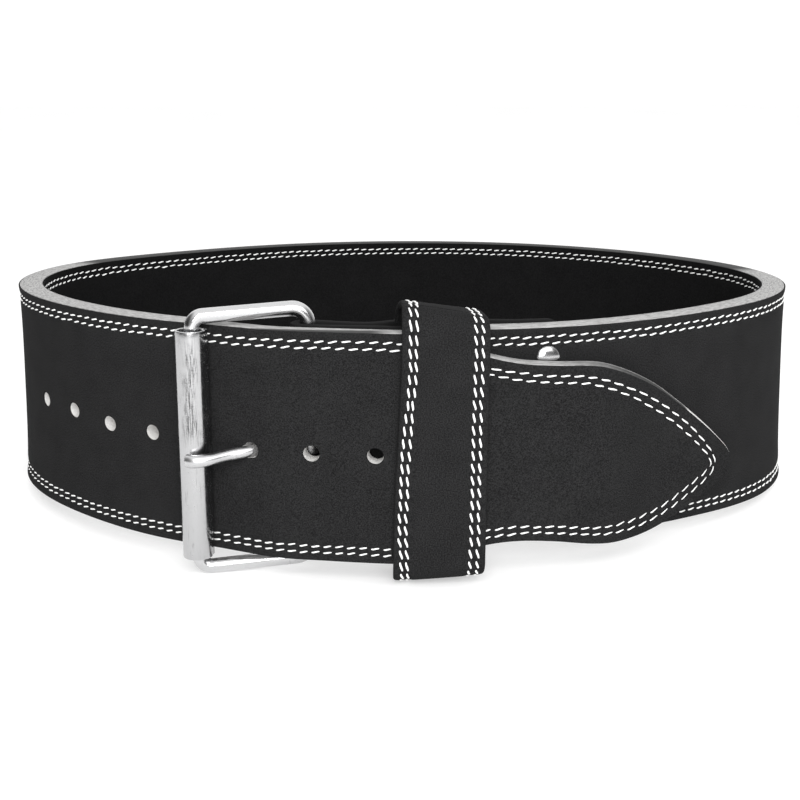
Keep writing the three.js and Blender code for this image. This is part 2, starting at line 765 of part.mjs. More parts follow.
function restFacet(meshes) {
  const centre = centreOfMass(meshes);
  const hull = new ConvexHull().setFromPoints(meshes.flatMap((mesh) => cornersOf(mesh.geometry)));
  const down = new THREE.Ray(centre, new THREE.Vector3(0, 0, -1));
  const hit = new THREE.Vector3();
  return hull.faces.find((face) => {
    const [a, b, c] = [face.edge, face.edge.next, face.edge.next.next].map((edge) => edge.head().point);
    down.direction.copy(face.normal);
    return face.normal.z < -0.9 && down.intersectTriangle(a, b, c, false, hit);
  });
}

function standing(meshes) {
  const belt = new THREE.Group();
  belt.add(...meshes);
  belt.quaternion.setFromUnitVectors(restFacet(meshes).normal, new THREE.Vector3(0, 0, -1));
  belt.updateMatrixWorld(true);
  const box = new THREE.Box3().setFromObject(belt, true);
  const middle = box.getCenter(new THREE.Vector3());
  belt.position.set(-middle.x, -middle.y, -box.min.z);
  const root = new THREE.Group();
  root.add(belt);
  return root;
}

export default standing(beltPieces());
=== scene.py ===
import math

import bpy
import numpy as np
from mathutils import Matrix, Quaternion, Vector


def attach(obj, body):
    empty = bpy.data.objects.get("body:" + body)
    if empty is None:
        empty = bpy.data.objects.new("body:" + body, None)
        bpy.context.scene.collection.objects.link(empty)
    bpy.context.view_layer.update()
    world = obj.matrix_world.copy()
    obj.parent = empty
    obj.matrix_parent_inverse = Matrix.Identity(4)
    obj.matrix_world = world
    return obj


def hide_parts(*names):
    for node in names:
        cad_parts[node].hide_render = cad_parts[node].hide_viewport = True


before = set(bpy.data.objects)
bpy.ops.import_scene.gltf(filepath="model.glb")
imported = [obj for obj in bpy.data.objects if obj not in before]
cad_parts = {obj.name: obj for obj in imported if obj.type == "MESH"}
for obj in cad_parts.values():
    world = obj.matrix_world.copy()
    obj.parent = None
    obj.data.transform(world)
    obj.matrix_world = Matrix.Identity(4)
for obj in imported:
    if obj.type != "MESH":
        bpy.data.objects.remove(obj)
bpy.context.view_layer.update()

# A leather lifting belt, buckled, standing on its lower edge. Metres.
# Leather is made flat on a bench: x runs along the strap from its buckle end, y is the height
# above the lower edge, z is outwards. It is then stood on edge and bent round the waist line.

strap = {
    "width": 0.1,
    "bodyThick": 0.0124,
    "tongueThick": 0.0092,
    "facing": 0.0007,
    "glue": 0.00002,
    "setback": 0.00025,
    "start": 0.002,
    "tongueLength": 0.161,
    "tipWidth": 0.003,
    "tipDrop": 0.02,
    "slip": 0.0075,
    "rightLean": 0.0046,
    "leftLean": 0.0024,
    "cup": 0.0011,
    "lowRows": (0.0031, 0.006),
    "highRows": (0.004, 0.0068),
    "grooveWidth": 0.0011,
    "grooveDepth": 0.0005,
    "edgeRound": 0.0004,
}

waist = {
    "halfWidth": 0.2012,
    "halfDepth": 0.161,
    "samples": 40,
    # corners of the outline from above, across and depth, as shares of the half sizes
    "corners": [
        (-0.065, -1.01), (0.35, -0.98), (0.73, -0.7), (0.995, -0.325), (1.049, 0.155), (0.835, 0.61),
        (0.485, 0.94), (0.06, 1.035), (-0.37, 0.91), (-0.72, 0.585), (-0.995, 0.225), (-1.01, -0.27),
        (-0.795, -0.665), (-0.46, -0.97),
    ],
}

# the strap's lift between roller (0) and keeper (1), as shares of the full lift
liftSections = [
    (-0.16, 0), (0, 0.01), (0.12, 0.12), (0.26, 0.34), (0.37, 0.565), (0.475, 0.66), (0.63, 0.73),
    (0.82, 0.87), (1, 0.98), (1.2, 1), (1.8, 1), (2.9, 0.93),
]

# the strap's edges from its buckle end (0) once round (1), as shares of its width
bodySections = [
    (0, 0.052, 0.995), (0.045, 0.049, 0.995), (0.08, 0.039, 0.996), (0.115, 0.027, 0.998),
    (0.135, 0.021, 0.999), (0.15, 0.015, 1), (0.18, 0.005, 1), (0.21, 0, 1), (0.3, 0, 1),
]

# the tongue from the keeper (0) to its tip (1): its width as a share, its middle's drop as a share
tongueSections = [
    (0, 1, 0), (0.056, 0.99, 0), (0.13, 0.915, 0.02), (0.23, 0.818, 0.055), (0.304, 0.78, 0.1),
    (0.404, 0.778, 0.175), (0.515, 0.796, 0.295), (0.571, 0.778, 0.385), (0.634, 0.727, 0.475),
    (0.702, 0.646, 0.57), (0.773, 0.53, 0.675), (0.876, 0.34, 0.81), (0.938, 0.215, 0.9),
    (0.98, 0.115, 0.97), (1, strap["tipWidth"] / strap["width"], 1),
]

# on the tongue the rows of stitches wander in from its edges: share of the tongue, distance
lowShifts = [(0, 0.0007), (0.3, 0.0006), (0.62, 0.0014), (0.8, 0.0016), (0.92, 0.0029), (1, 0.0048)]
highShifts = [
    (0, 0.0001), (0.2, 0.0003), (0.45, 0.0008), (0.62, 0.0013), (0.8, 0.0006), (0.92, 0.0021), (1, 0.0044),
]

holes = {
    "diameter": 0.007,
    "pitch": 0.02635,
    "first": -0.0101,
    "used": 2,
    # distance from the first in pitches, height as a share of the strap's width, and its stretch in wear
    "rows": [
        (0, 0.479, 1), (1.003, 0.478, 1), (2, 0.472, 1.05), (2.93, 0.481, 1), (3.886, 0.49, 1.05),
        (4.896, 0.489, 1.2), (5.936, 0.505, 1.25), (7.01, 0.504, 1.2),
    ],
}

buckle = {
    "rod": 0.0065,
    "length": 0.0488,
    "clearance": 0.0025,
    "drop": 0.0005,
    "tilt": 0.0026,
    "barCorner": 0.0068,
    "rollerCorner": 0.0052,
    "rollerStation": -0.0867,
    "rollerDiameter": 0.013,
    "rollerWall": 0.0016,
    "rollerSheet": 0.0013,
    "sheetAngles": (48, 390),
    "lip": 0.0012,
    "lipTurn": 0.9,
    "rollerEndPlay": 0.0023,
    "rollerDrop": 0.0018,
    "prong": 0.005,
    "prongEyeWall": 0.0028,
    "prongEyeWidth": 0.007,
    "prongShort": 0.0013,
    "prongDrop": 0.0031,
    "prongPlay": 0.0006,
    "prongWidening": 0.14,
    "gap": 0.0003,
}

keeper = {"from": -0.001, "start": 0.0004, "width": 0.0347, "thick": 0.003, "riseStart": 0.007,
          "riseEnd": 0.0035, "cornerStart": 0.0118, "cornerEnd": 0.0082, "skew": 0.0028,
          "flare": 0.003, "dome": 0.0016, "wander": 0.0013, "grooveDepth": 0.0004,
          "edgeDip": 0.0006, "edgeReach": 0.0012,
          "rows": (0.0034, 0.0058, 0.0289, 0.0316)}

rivet = {"head": 0.011, "headHeight": 0.0018, "shank": 0.0044, "burr": 0.009, "burrHeight": 0.0012,
         "chamfer": 0.0003, "edgeDistance": 0.0134, "column": 0.0632, "barColumn": -0.017}


def pick(obj):
    bpy.ops.object.select_all(action="DESELECT")
    obj.select_set(True)
    bpy.context.view_layer.objects.active = obj
    return obj


def applyModifier(obj, kind, **values):
    pick(obj)
    modifier = obj.modifiers.new(kind.lower(), kind)
    for key, value in values.items():
        setattr(modifier, key, value)
    bpy.ops.object.modifier_apply(modifier=modifier.name)
    return obj


def applyPlace(obj):
    pick(obj)
    bpy.ops.object.transform_apply(location=True, rotation=True, scale=True)
    return obj


def bevelled(obj, width, segments=2, angle=60):
    return applyModifier(obj, "BEVEL", width=width, segments=segments, limit_method="ANGLE",
                         angle_limit=math.radians(angle))


def arrayed(obj, count, step):
    return applyModifier(obj, "ARRAY", count=count, use_relative_offset=False, use_constant_offset=True,
                         constant_offset_displace=(step, 0, 0))


def smoothed(obj, angle=38):
    pick(obj)
    bpy.ops.object.shade_smooth_by_angle(angle=math.radians(angle))
    return obj


# doubles merged, and normals outwards where asked
def merged(obj, distance=1e-6, turnOut=True):
    pick(obj)
    bpy.ops.object.mode_set(mode="EDIT")
    bpy.ops.mesh.select_all(action="SELECT")
    bpy.ops.mesh.remove_doubles(threshold=distance)
    if turnOut:
        bpy.ops.mesh.normals_make_consistent(inside=False)
    bpy.ops.object.mode_set(mode="OBJECT")
    return obj


def joined(name, parts):
    bpy.ops.object.select_all(action="DESELECT")
    for part in parts:
        part.select_set(True)
    bpy.context.view_layer.objects.active = parts[0]
    bpy.ops.object.join()
    parts[0].name = parts[0].data.name = name
    return parts[0]


def readPoints(obj):
    points = np.zeros(len(obj.data.vertices) * 3, np.float32)
    obj.data.vertices.foreach_get("co", points)
    return points.reshape(-1, 3).astype(float)


def movePoints(obj, points):
    obj.data.vertices.foreach_set("co", points.astype(np.float32).ravel())
    obj.data.update()


def pathLength(path):
    return np.linalg.norm(np.diff(path, axis=0), axis=1).sum()


def ease(x, low, high):
    share = np.clip((np.asarray(x, float) - low) / (high - low), 0, 1)
    return share * share * (3 - 2 * share)


# a smooth line through the rows of a table
def softTable(xs, ys):
    xs, ys = np.array(xs, float), np.array(ys, float)
    chords = np.diff(ys) / np.diff(xs)
    slopes = np.concatenate([chords[:1], (chords[1:] + chords[:-1]) / 2, chords[-1:]])

    def read(x):
        x = np.clip(x, xs[0], xs[-1])
        i = np.clip(np.searchsorted(xs, x, side="right") - 1, 0, len(xs) - 2)
        step = xs[i + 1] - xs[i]
        p = (x - xs[i]) / step
        before = (2 * p**3 - 3 * p**2 + 1) * ys[i] + (p**3 - 2 * p**2 + p) * step * slopes[i]
        after = (3 * p**2 - 2 * p**3) * ys[i + 1] + (p**3 - p**2) * step * slopes[i + 1]
        return before + after

    return read


# the waist line is a closed cubic B-spline over its corners
def waistPoints():
    corners = np.array(waist["corners"])
    corners = np.column_stack([corners[:, 0] * waist["halfWidth"], (1 + corners[:, 1]) * waist["halfDepth"]])
    u = np.arange(waist["samples"])[:, None] / waist["samples"]
    weights = [(1 - u) ** 3, 3 * u**3 - 6 * u**2 + 4, -3 * u**3 + 3 * u**2 + 3 * u + 1, u**3]
    spans = []
    for i in range(len(corners)):
        near = [corners[(i + k) % len(corners)] for k in (-1, 0, 1, 2)]
        spans.append(sum(w * corner for w, corner in zip(weights, near)) / 6)
    return np.concatenate(spans)


waistLine = waistPoints()
waistClosed = np.vstack([waistLine, waistLine[:1]])
waistLengths = np.concatenate([[0], np.cumsum(np.linalg.norm(np.diff(waistClosed, axis=0), axis=1))])
waistLength = waistLengths[-1]
crossing = next(i for i in range(len(waistLine)) if waistClosed[i, 0] < 0 <= waistClosed[i + 1, 0])
waistStart = np.interp(0, waistClosed[crossing:crossing + 2, 0], waistLengths[crossing:crossing + 2])
overlap = waistLength
tipRun = overlap + keeper["from"] + strap["tongueLength"]
fullLift = strap["tongueThick"] + rivet["headHeight"] + buckle["gap"]


# a place on the belt: along the waist line, outwards from it, and above the lower edge
def onBelt(station, out, height=0.0):
    along = (station + waistStart) % waistLength
    point = np.array([np.interp(along, waistLengths, waistClosed[:, axis]) for axis in (0, 1)])
    step = 0.003
    ends = [[np.interp((along + side) % waistLength, waistLengths, waistClosed[:, axis]) for axis in (0, 1)]
            for side in (-step, step)]
    tangent = np.subtract(ends[1], ends[0])
    tangent /= np.linalg.norm(tangent)
    normal = np.array([tangent[1], -tangent[0]])
    place = point + normal * out
    return Vector((*place, height)), Vector((*tangent, 0)), Vector((*normal, 0))


readLift = softTable(*zip(*liftSections))
alongTongue, widths, drops = zip(*tongueSections)
readWidth, readDrop = softTable(alongTongue, widths), softTable(alongTongue, drops)
roundWaist, bottoms, tops = zip(*bodySections)
readBottom, readTop = softTable(roundWaist, bottoms), softTable(roundWaist, tops)
readLowShift, readHighShift = softTable(*zip(*lowShifts)), softTable(*zip(*highShifts))


def stackShare(run):
    return (run - overlap - buckle["rollerStation"]) / (keeper["from"] - buckle["rollerStation"])


def liftAt(run):
    return np.where(run < overlap / 2, 0, readLift(stackShare(run)) * fullLift)


def thicknessAt(run):
    share = np.where(run < overlap / 2, 0, ease(stackShare(run), -0.2, 0.2))
    return strap["bodyThick"] + (strap["tongueThick"] - strap["bodyThick"]) * share


def tongueShare(run):
    return np.maximum((run - overlap - keeper["from"]) / strap["tongueLength"], 0)


def edgesAt(run):
    share = tongueShare(run)
    width = strap["width"] * readWidth(share)
    middle = strap["width"] / 2 - strap["tipDrop"] * readDrop(share)
    onBody = np.asarray(run) < overlap / 2
    low = np.where(onBody, strap["width"] * readBottom(run / waistLength), middle - width / 2)
    high = np.where(onBody, strap["width"] * readTop(run / waistLength), middle + width / 2)
    return low, high


# slopes of the two edges along the strap
def edgeSlopes(run):
    step = 0.0005
    low, high = edgesAt(run - step), edgesAt(run + step)
    return (high[0] - low[0]) / (2 * step), (high[1] - low[1]) / (2 * step)


# how far in from the edges the two rows of stitches run: low and high, for each row
def rowDistances(run):
    share, stack = tongueShare(run), stackShare(run)
    onTongue = ease(stack, -0.1, 0.15)
    low = readLowShift(share) * onTongue + (1 - onTongue) * (0.0007 + 0.0004 * ease(run, 0.3, 0.85))
    high = (readHighShift(share) + 0.0007 * (1 - ease(stack, 0.1, 0.5))) * onTongue
    wider = 0.0007 * ease(share, 0.45, 0.7) - 0.0012 * ease(share, 0.85, 1)
    return [(strap["lowRows"][i] + low + i * wider, strap["highRows"][i] + high + i * wider) for i in (0, 1)]


# the stitches are longer at the sides and along the tongue's curves: factors for the low and high rows
def stitchStretch(run):
    share = tongueShare(run)
    onTongue = ease(stackShare(run), -0.1, 0.15)
    rightSide = ease(run, 0.06, 0.15) * (1 - ease(run, 0.3, 0.4))
    leftSide = ease(run, 0.7, 0.8) * (1 - ease(run, overlap - 0.2, overlap - 0.12))
    sides = 0.16 * (rightSide + leftSide)
    low = 0.98 + 0.02 * onTongue + 0.06 * ease(share, 0.02, 0.2) + 0.19 * ease(share, 0.4, 0.8)
    high = 1.04 + 0.06 * onTongue + 0.04 * ease(share, 0.02, 0.3) + 0.3 * ease(share, 0.35, 0.75)
    return low + sides, high + sides


# how far the rows of stitches pull the faces in
def pinch(run, height):
    bottom, top = edgesAt(run)
    lowSlope, highSlope = edgeSlopes(run)
    low = (height - bottom) / np.hypot(1, lowSlope)
    high = (top - height) / np.hypot(1, highSlope)
    pairs = [(low - lowRow, high - highRow) for lowRow, highRow in rowDistances(run)]
    grooves = sum(np.exp(-((away / strap["grooveWidth"]) ** 2)) for pair in pairs for away in pair)
    return strap["grooveDepth"] * np.minimum(grooves, 1.1)


def outerFace(run, height):
    return liftAt(run) - pinch(run, height)


def innerFace(run, height):
    return liftAt(run) - thicknessAt(run) + pinch(run, height)


# bent round the waist, the tongue's inner layers slide past the outer ones
def slipped(points):
    run = points[:, 0].copy()
    depth = liftAt(run) - points[:, 2]
    points[:, 0] += strap["slip"] * tongueShare(run) * depth / strap["tongueThick"]
    return points


# the sides stand a little wider at their lower edges
def leanAt(run):
    share = (run % waistLength) / waistLength
    right = ease(share, 0.1, 0.19) * (1 - ease(share, 0.26, 0.42))
    left = ease(share, 0.66, 0.77) * (1 - ease(share, 0.785, 0.88))
    return strap["rightLean"] * right + strap["leftLean"] * left


# and both edges of the sides curl outwards
def cupAt(run, height):
    share = (run % waistLength) / waistLength
    right = ease(share, 0.12, 0.22) * (1 - ease(share, 0.34, 0.46))
    left = ease(share, 0.62, 0.74) * (1 - ease(share, 0.8, 0.9))
    across = 2 * height / strap["width"] - 1
    return strap["cup"] * (right + left) * (across**4 - 0.6)


def guideCurve(name, points, closed=False):
    curve = bpy.data.curves.new(name, "CURVE")
    curve.dimensions = "3D"
    curve.twist_mode = "Z_UP"
    spline = curve.splines.new("POLY")
    spline.points.add(len(points) - 1)
    for target, place in zip(spline.points, points):
        target.co = (place[0], place[1], 0, 1)
    spline.use_cyclic_u = closed
    guide = bpy.data.objects.new(name, curve)
    bpy.context.scene.collection.objects.link(guide)
    guides.append(guide)
    return guide


guides = []
waistGuide = guideCurve("waistGuide", waistLine, closed=True)

# how the belt leans as it stands on its lower edge: degrees, and the place of the bench's origin
standing = {"tipBack": -1.776321, "tipSide": 0.435602, "place": (-0.003526508, -0.155162582, 0.010240071)}
tip = Vector((math.radians(standing["tipBack"]), math.radians(standing["tipSide"]), 0))
tipped = Quaternion(tip.normalized(), tip.length).to_matrix().to_4x4()
standingMatrix = Matrix.Translation(standing["place"]) @ tipped


def stand(obj):
    obj.matrix_world = standingMatrix
    return applyPlace(obj)


# keeps the bench places for the materials
def keepBench(obj, points):
    if "bench" not in obj.data.attributes:
        kept = obj.data.attributes.new("bench", "FLOAT_VECTOR", "POINT")
        kept.data.foreach_set("vector", points.astype(np.float32).ravel())


# stands the leather on edge and bends it
def bendAlong(obj, guide, shift=0.0):
    points = readPoints(obj)
    keepBench(obj, points)
    movePoints(obj, np.column_stack([points[:, 0] + shift, -points[:, 2], points[:, 1]]))
    return applyModifier(obj, "CURVE", object=guide, deform_axis="POS_X")


def bendRoundWaist(obj):
    points = readPoints(obj)
    keepBench(obj, points)
    run, height = points[:, 0], points[:, 1]
    points[:, 2] += leanAt(run) * (1 - height / strap["width"]) + cupAt(run, height)
    movePoints(obj, points)
    bendAlong(obj, waistGuide, waistStart)
    return stand(obj)


# a flat sheet of unit thickness with a vertex for each pair of places; returns their indices too
def flatSheet(name, columns, rows):
    bpy.ops.mesh.primitive_grid_add(x_subdivisions=columns - 1, y_subdivisions=rows - 1, size=2)
    sheet = bpy.context.object
    sheet.name = sheet.data.name = name
    applyModifier(sheet, "SOLIDIFY", thickness=1, offset=-1)
    points = readPoints(sheet)
    column = np.rint((points[:, 0] + 1) / 2 * (columns - 1)).astype(int)
    row = np.rint((points[:, 1] + 1) / 2 * (rows - 1)).astype(int)
    return sheet, column, row, points[:, 2] < -0.5


# places along the strap, closer together where it lifts and closest at the tip
def strapRuns(start, end):
    bend = overlap + buckle["rollerStation"] - 0.04
    body = np.arange(start, bend, 0.005)
    tongue = np.arange(body[-1] + 0.0025, end - 0.006, 0.0025)
    tip = np.linspace(tongue[-1] + 0.0012, end, 8)
    return np.concatenate([body, tongue, tip])


# distances in from an edge, closest where the stitches run
acrossRows = np.array([0, 0.6, 1.4, 2.2, 3, 3.8, 4.6, 5.4, 6.2, 7, 8, 9.5, 12, 16, 24, 36, 50]) / 1000


def strapLayer(name, inset, outer, inner, roundness):
    runs = strapRuns(strap["start"] + inset, tipRun - inset)
    half = len(acrossRows) - 1
    sheet, column, row, isInner = flatSheet(name, len(runs), 2 * half + 1)
    run = runs[column]
    near = np.minimum(row, 2 * half - row)
    bottom, top = edgesAt(run)
    distance = np.minimum(acrossRows[near], ((top - bottom) / 2 - inset) * near / half)
    height = np.where(row <= half, bottom + inset + distance, top - inset - distance)
    out = np.where(isInner, inner(run, height), outer(run, height))
    movePoints(sheet, slipped(np.column_stack([run, height, out])))
    return bevelled(sheet, roundness)


# station and height of a prong hole
def holePlace(index):
    along, height, _ = holes["rows"][index]
    return holes["first"] - along * holes["pitch"], height * strap["width"]


prongStation, prongHeight = holePlace(holes["used"])


def tube(name, points, radius, sides=24, handles="AUTO", closed=False):
    curve = bpy.data.curves.new(name, "CURVE")
    curve.dimensions = "3D"
    curve.bevel_depth = radius
    curve.bevel_resolution = sides // 4 - 1
    curve.resolution_u = 16
    curve.use_fill_caps = not closed
    spline = curve.splines.new("BEZIER" if handles == "AUTO" else "POLY")
    places = spline.bezier_points if handles == "AUTO" else spline.points
    places.add(len(points) - 1)
    for target, place in zip(places, points):
        target.co = Vector(place) if handles == "AUTO" else (*place, 1)
        if handles == "AUTO":
            target.handle_left_type = target.handle_right_type = "AUTO"
    spline.use_cyclic_u = closed
    obj = bpy.data.objects.new(name, curve)
    bpy.context.scene.collection.objects.link(obj)
    pick(obj)
    bpy.ops.object.convert(target="MESH")
    return merged(bpy.context.object)


# the punch for the eight holes
def holePunch():
    parts = []
    for index, (_, _, stretch) in enumerate(holes["rows"]):
        station, height = holePlace(index)
        run = overlap + station
        climb = float(liftAt(run + 0.001) - liftAt(run - 0.001)) / 0.002
        bpy.ops.mesh.primitive_cylinder_add(vertices=40, radius=holes["diameter"] / 2, depth=0.05)
        punch = bpy.context.object
        punch.scale = (stretch, 1, 1)
        punch.rotation_euler = (0, -math.atan(climb), 0)
        punch.location = (run, height, float(liftAt(run)))
        parts.append(applyPlace(punch))
    return joined("holePunch", parts)


# the prong's way through the hole in use: station, height and depth
def prongWay():
    radius, thick = buckle["prong"] / 2, strap["tongueThick"]
    inside = float(liftAt(overlap + prongStation)) - thick
    # how far from the hole in its diameters, how far down to the tip, and the depth
    steps = [
        (2.4, 0, inside - 3.4 * radius),
        (1.5, 0, inside - 0.9 * radius),
        (0.5, 0, inside + 0.25 * thick),
        (-0.2, 0.25, inside + 0.9 * thick),
        (-1.2, 0.55, inside + thick + 1.3 * radius),
        (-2.4, 0.9, inside + thick + 2.8 * radius),
    ]
    return [(prongStation + along * holes["diameter"], prongHeight - lower * buckle["prongDrop"], depth)
            for along, lower, depth in steps]


def prongPunch():
    points = [(overlap + station, height, depth) for station, height, depth in prongWay()]
    return tube("prongPunch", points, buckle["prong"] / 2 + buckle["prongPlay"])


def cutBy(obj, cutter):
    return applyModifier(obj, "BOOLEAN", operation="DIFFERENCE", solver="EXACT", object=cutter)


def makeStrap():
    facing, glue = strap["facing"], strap["glue"]
    layers = [
        strapLayer("belt_core_leather", 0, lambda run, height: outerFace(run, height) - facing - glue,
                   lambda run, height: innerFace(run, height) + facing + glue, 0.0005),
        strapLayer("belt_outer_suede", strap["setback"], outerFace,
                   lambda run, height: outerFace(run, height) - facing, strap["edgeRound"]),
        strapLayer("belt_inner_suede", strap["setback"],
                   lambda run, height: innerFace(run, height) + facing, innerFace, strap["edgeRound"]),
    ]
    punches = [holePunch(), prongPunch()]
    for layer in layers:
        for punch in punches:
            cutBy(layer, punch)
        bendRoundWaist(layer)
        smoothed(layer)
    for punch in punches:
        bpy.data.objects.remove(punch)
    print("strap made")
    return layers


stitch = {
    "length": 0.0043,
    "thick": 0.00072,
    "pitch": 0.00505,
    "slant": 4,
    "keeperLength": 0.0051,
    "keeperThick": 0.00084,
    "keeperPitch": 0.00545,
    "keeperSlant": 9,
    # how it swells in the middle, thins at its ends, sinks there and bulges to one side by its twist
    "swell": 1.08,
    "taper": 0.62,
    "sink": 0.0006,
    "raise": 0.0001,
    "bulge": 0.00012,
    # chance: sideways shift, length and slant
    "shift": 0.00012,
    "ownLength": 0.04,
    "ownSlant": 2,
    "ownKeeperSlope": 0.03,
}


# one stitch, arched, its ends sunk in the leather
def oneStitch(length=stitch["length"], thick=stitch["thick"], slant=0, flipped=False):
    bpy.ops.mesh.primitive_cylinder_add(vertices=8, radius=thick / 2, depth=length,
                                        rotation=(0, math.pi / 2, 0))
    obj = applyPlace(bpy.context.object)
    bpy.ops.object.mode_set(mode="EDIT")
    bpy.ops.mesh.select_mode(type="EDGE")
    bpy.ops.mesh.select_all(action="DESELECT")
    bpy.ops.object.mode_set(mode="OBJECT")
    # only its long edges are cut, so that it can arch
    points = readPoints(obj)
    for edge in obj.data.edges:
        a, b = edge.vertices
        edge.select = bool(abs(points[a, 0] - points[b, 0]) > length / 2)
    bpy.ops.object.mode_set(mode="EDIT")
    bpy.ops.mesh.subdivide(number_cuts=5)
    bpy.ops.mesh.select_mode(type="VERT")
    bpy.ops.object.mode_set(mode="OBJECT")
    points = readPoints(obj)
    share = points[:, 0] / (length / 2)
    points[:, 1:] *= stitch["swell"] - stitch["taper"] * share[:, None] ** 2
    points[:, 1] += stitch["bulge"] * np.sin(share * math.pi)
    points[:, 2] -= stitch["sink"] * np.abs(share) ** 5 - stitch["raise"]
    movePoints(obj, points)
    obj.rotation_euler = (math.pi if flipped else 0, 0, math.radians(slant))
    return applyPlace(obj)


stitchChance = np.random.default_rng(5)


def rowPath(index):
    runs = np.arange(strap["start"] + 0.003, tipRun + 0.004, 0.002)
    bottom, top = edgesAt(runs)
    lowSlope, highSlope = edgeSlopes(np.minimum(runs, tipRun - 0.001))
    lowNorm, highNorm = np.hypot(1, lowSlope), np.hypot(1, highSlope)
    lowRow, highRow = rowDistances(runs)[index]
    low = np.column_stack([runs - lowRow * lowSlope / lowNorm, bottom + lowRow / lowNorm])
    high = np.column_stack([runs + highRow * highSlope / highNorm, top - highRow / highNorm])
    # past the last place where they are apart, the lower row turns into the upper one
    apart = high[:, 1] - low[:, 1] > 0.0006
    last = len(runs) if apart.all() else np.argmin(apart)
    path = np.vstack([low[:last], high[:last][::-1]])
    stretch = np.concatenate([part[:last][::way] for part, way in zip(stitchStretch(runs), (1, -1))])
    front = ease(stackShare(runs[:last]), -1.2, -0.4) * (1 - ease(tongueShare(runs[:last]), 0.1, 0.3))
    lowSlant = stitch["slant"] + 1.5 * front + 3 * ease(tongueShare(runs[:last]), 0.3, 0.6)
    highSlant = stitch["slant"] + 1.5 * front - 3 * ease(tongueShare(runs[:last]), 0.35, 0.65)
    slant = np.concatenate([lowSlant, highSlant[::-1]])
    # the rows turn round the tip in a soft bend
    for _ in range(14):
        path[1:-1] = (path[:-2] + 2 * path[1:-1] + path[2:]) / 4
    return path, stretch, slant


def stitchRow(path, stretch, slant, face, flipped):
    guide = guideCurve("rowGuide", path)
    steps = np.linalg.norm(np.diff(path, axis=0), axis=1)
    arc = np.concatenate([[0], np.cumsum(steps)])
    counted = np.concatenate([[0], np.cumsum(steps / (stitch["pitch"] * (stretch[1:] + stretch[:-1]) / 2))])
    count = int(counted[-1])
    row = arrayed(oneStitch(flipped=flipped), count, stitch["pitch"])
    # each stitch gets its length and slant from its place along the row, and a little of its own
    points = readPoints(row)
    index = np.rint(points[:, 0] / stitch["pitch"]).astype(int)
    ownSlant, ownLength, shift = stitchChance.normal(size=(3, count + 1))
    place = np.interp(index + 0.5, counted, arc)
    offset = np.interp(points[:, 0] / stitch["pitch"] + 0.5, counted, arc) - place
    lean = np.tan(np.radians(np.interp(place, arc, slant) + stitch["ownSlant"] * ownSlant[index]))
    points[:, 0] = place + offset * (1 + stitch["ownLength"] * ownLength[index])
    points[:, 1] += (-1 if flipped else 1) * lean * offset + stitch["shift"] * shift[index]
    movePoints(row, points)
    applyModifier(row, "CURVE", object=guide, deform_axis="POS_X")
    points = readPoints(row)
    points[:, 2] += face(points[:, 0], points[:, 1])
    movePoints(row, slipped(points))
    return row


def makeStitches():
    pieces = []
    for name, face, flipped in (("outer_stitches", outerFace, False), ("inner_stitches", innerFace, True)):
        rows = [stitchRow(*rowPath(index), face, flipped) for index in (0, 1)]
        pieces.append(smoothed(bendRoundWaist(joined(name, rows)), 60))
    print("stitches made")
    return pieces


# the keeper: a band made flat, rolled into a loop round tongue and body, then bent with the strap
def keeperPath():
    outerSide = fullLift + buckle["gap"] + keeper["thick"]
    innerSide = -strap["bodyThick"] - buckle["gap"] - keeper["thick"]
    depth = outerSide - innerSide
    halfHeight = strap["width"] / 2 + keeper["thick"] + (keeper["riseStart"] + keeper["riseEnd"]) / 2
    corner = (keeper["cornerStart"] + keeper["cornerEnd"]) / 2
    points = []
    for side, rise, start in ((1, 1, 0), (-1, 1, 90), (-1, -1, 180), (1, -1, 270)):
        for angle in np.radians(start + np.linspace(0, 90, 14)):
            points.append((side * (halfHeight - corner) + corner * math.cos(angle),
                           rise * (depth / 2 - corner) + corner * math.sin(angle)))
    return np.array(points), (outerSide + innerSide) / 2, halfHeight, depth / 2


def rollKeeper(obj, guide, middle, halfHeight, halfDepth):
    bendAlong(obj, guide)
    rolled = readPoints(obj)
    share = np.clip(rolled[:, 2] / keeper["width"], 0, 1)
    slack = keeper["riseStart"] + (keeper["riseEnd"] - keeper["riseStart"]) * share
    corner = (keeper["cornerStart"] + keeper["cornerEnd"]) / 2
    rounding = keeper["cornerStart"] + (keeper["cornerEnd"] - keeper["cornerStart"]) * share
    # the crest is stretched away from the strap's middle, with a rounder bend at the loop's start
    up, away = np.abs(rolled[:, 0]), np.abs(rolled[:, 1])
    flatHeight, flatDepth = halfHeight - corner, halfDepth - corner
    half = strap["width"] / 2 + keeper["thick"] + slack
    reach = np.where(up > flatHeight, half - rounding + (up - flatHeight) * rounding / corner,
                     up * (half - rounding) / flatHeight)
    depth = np.where(away > flatDepth, halfDepth - rounding + (away - flatDepth) * rounding / corner,
                     away * (halfDepth - rounding) / flatDepth)
    depth = np.where(up > flatHeight, depth, away)
    turned = ease(up - flatHeight, -0.01, 0)
    out = np.sign(rolled[:, 1]) * (away * (1 - turned) + depth * turned)
    # the top is domed; the start's side slants towards the lower front corner and towards the back
    half = np.sign(rolled[:, 0]) * reach
    half += keeper["dome"] * ease(half, 0.05, 0.055) * (1.1 - share) * (1 - (out / halfDepth) ** 2)
    behind = ease(halfDepth - out, 0.015, 0.03)
    flare = keeper["flare"] * (1 - behind) * ease(-half, -0.05, 0.045)
    skew = (keeper["skew"] * behind + flare) * (1 - share)
    run = keeper["start"] + rolled[:, 2] - skew
    movePoints(obj, np.column_stack([run, strap["width"] / 2 + half, out + middle]))
    return bendRoundWaist(obj)


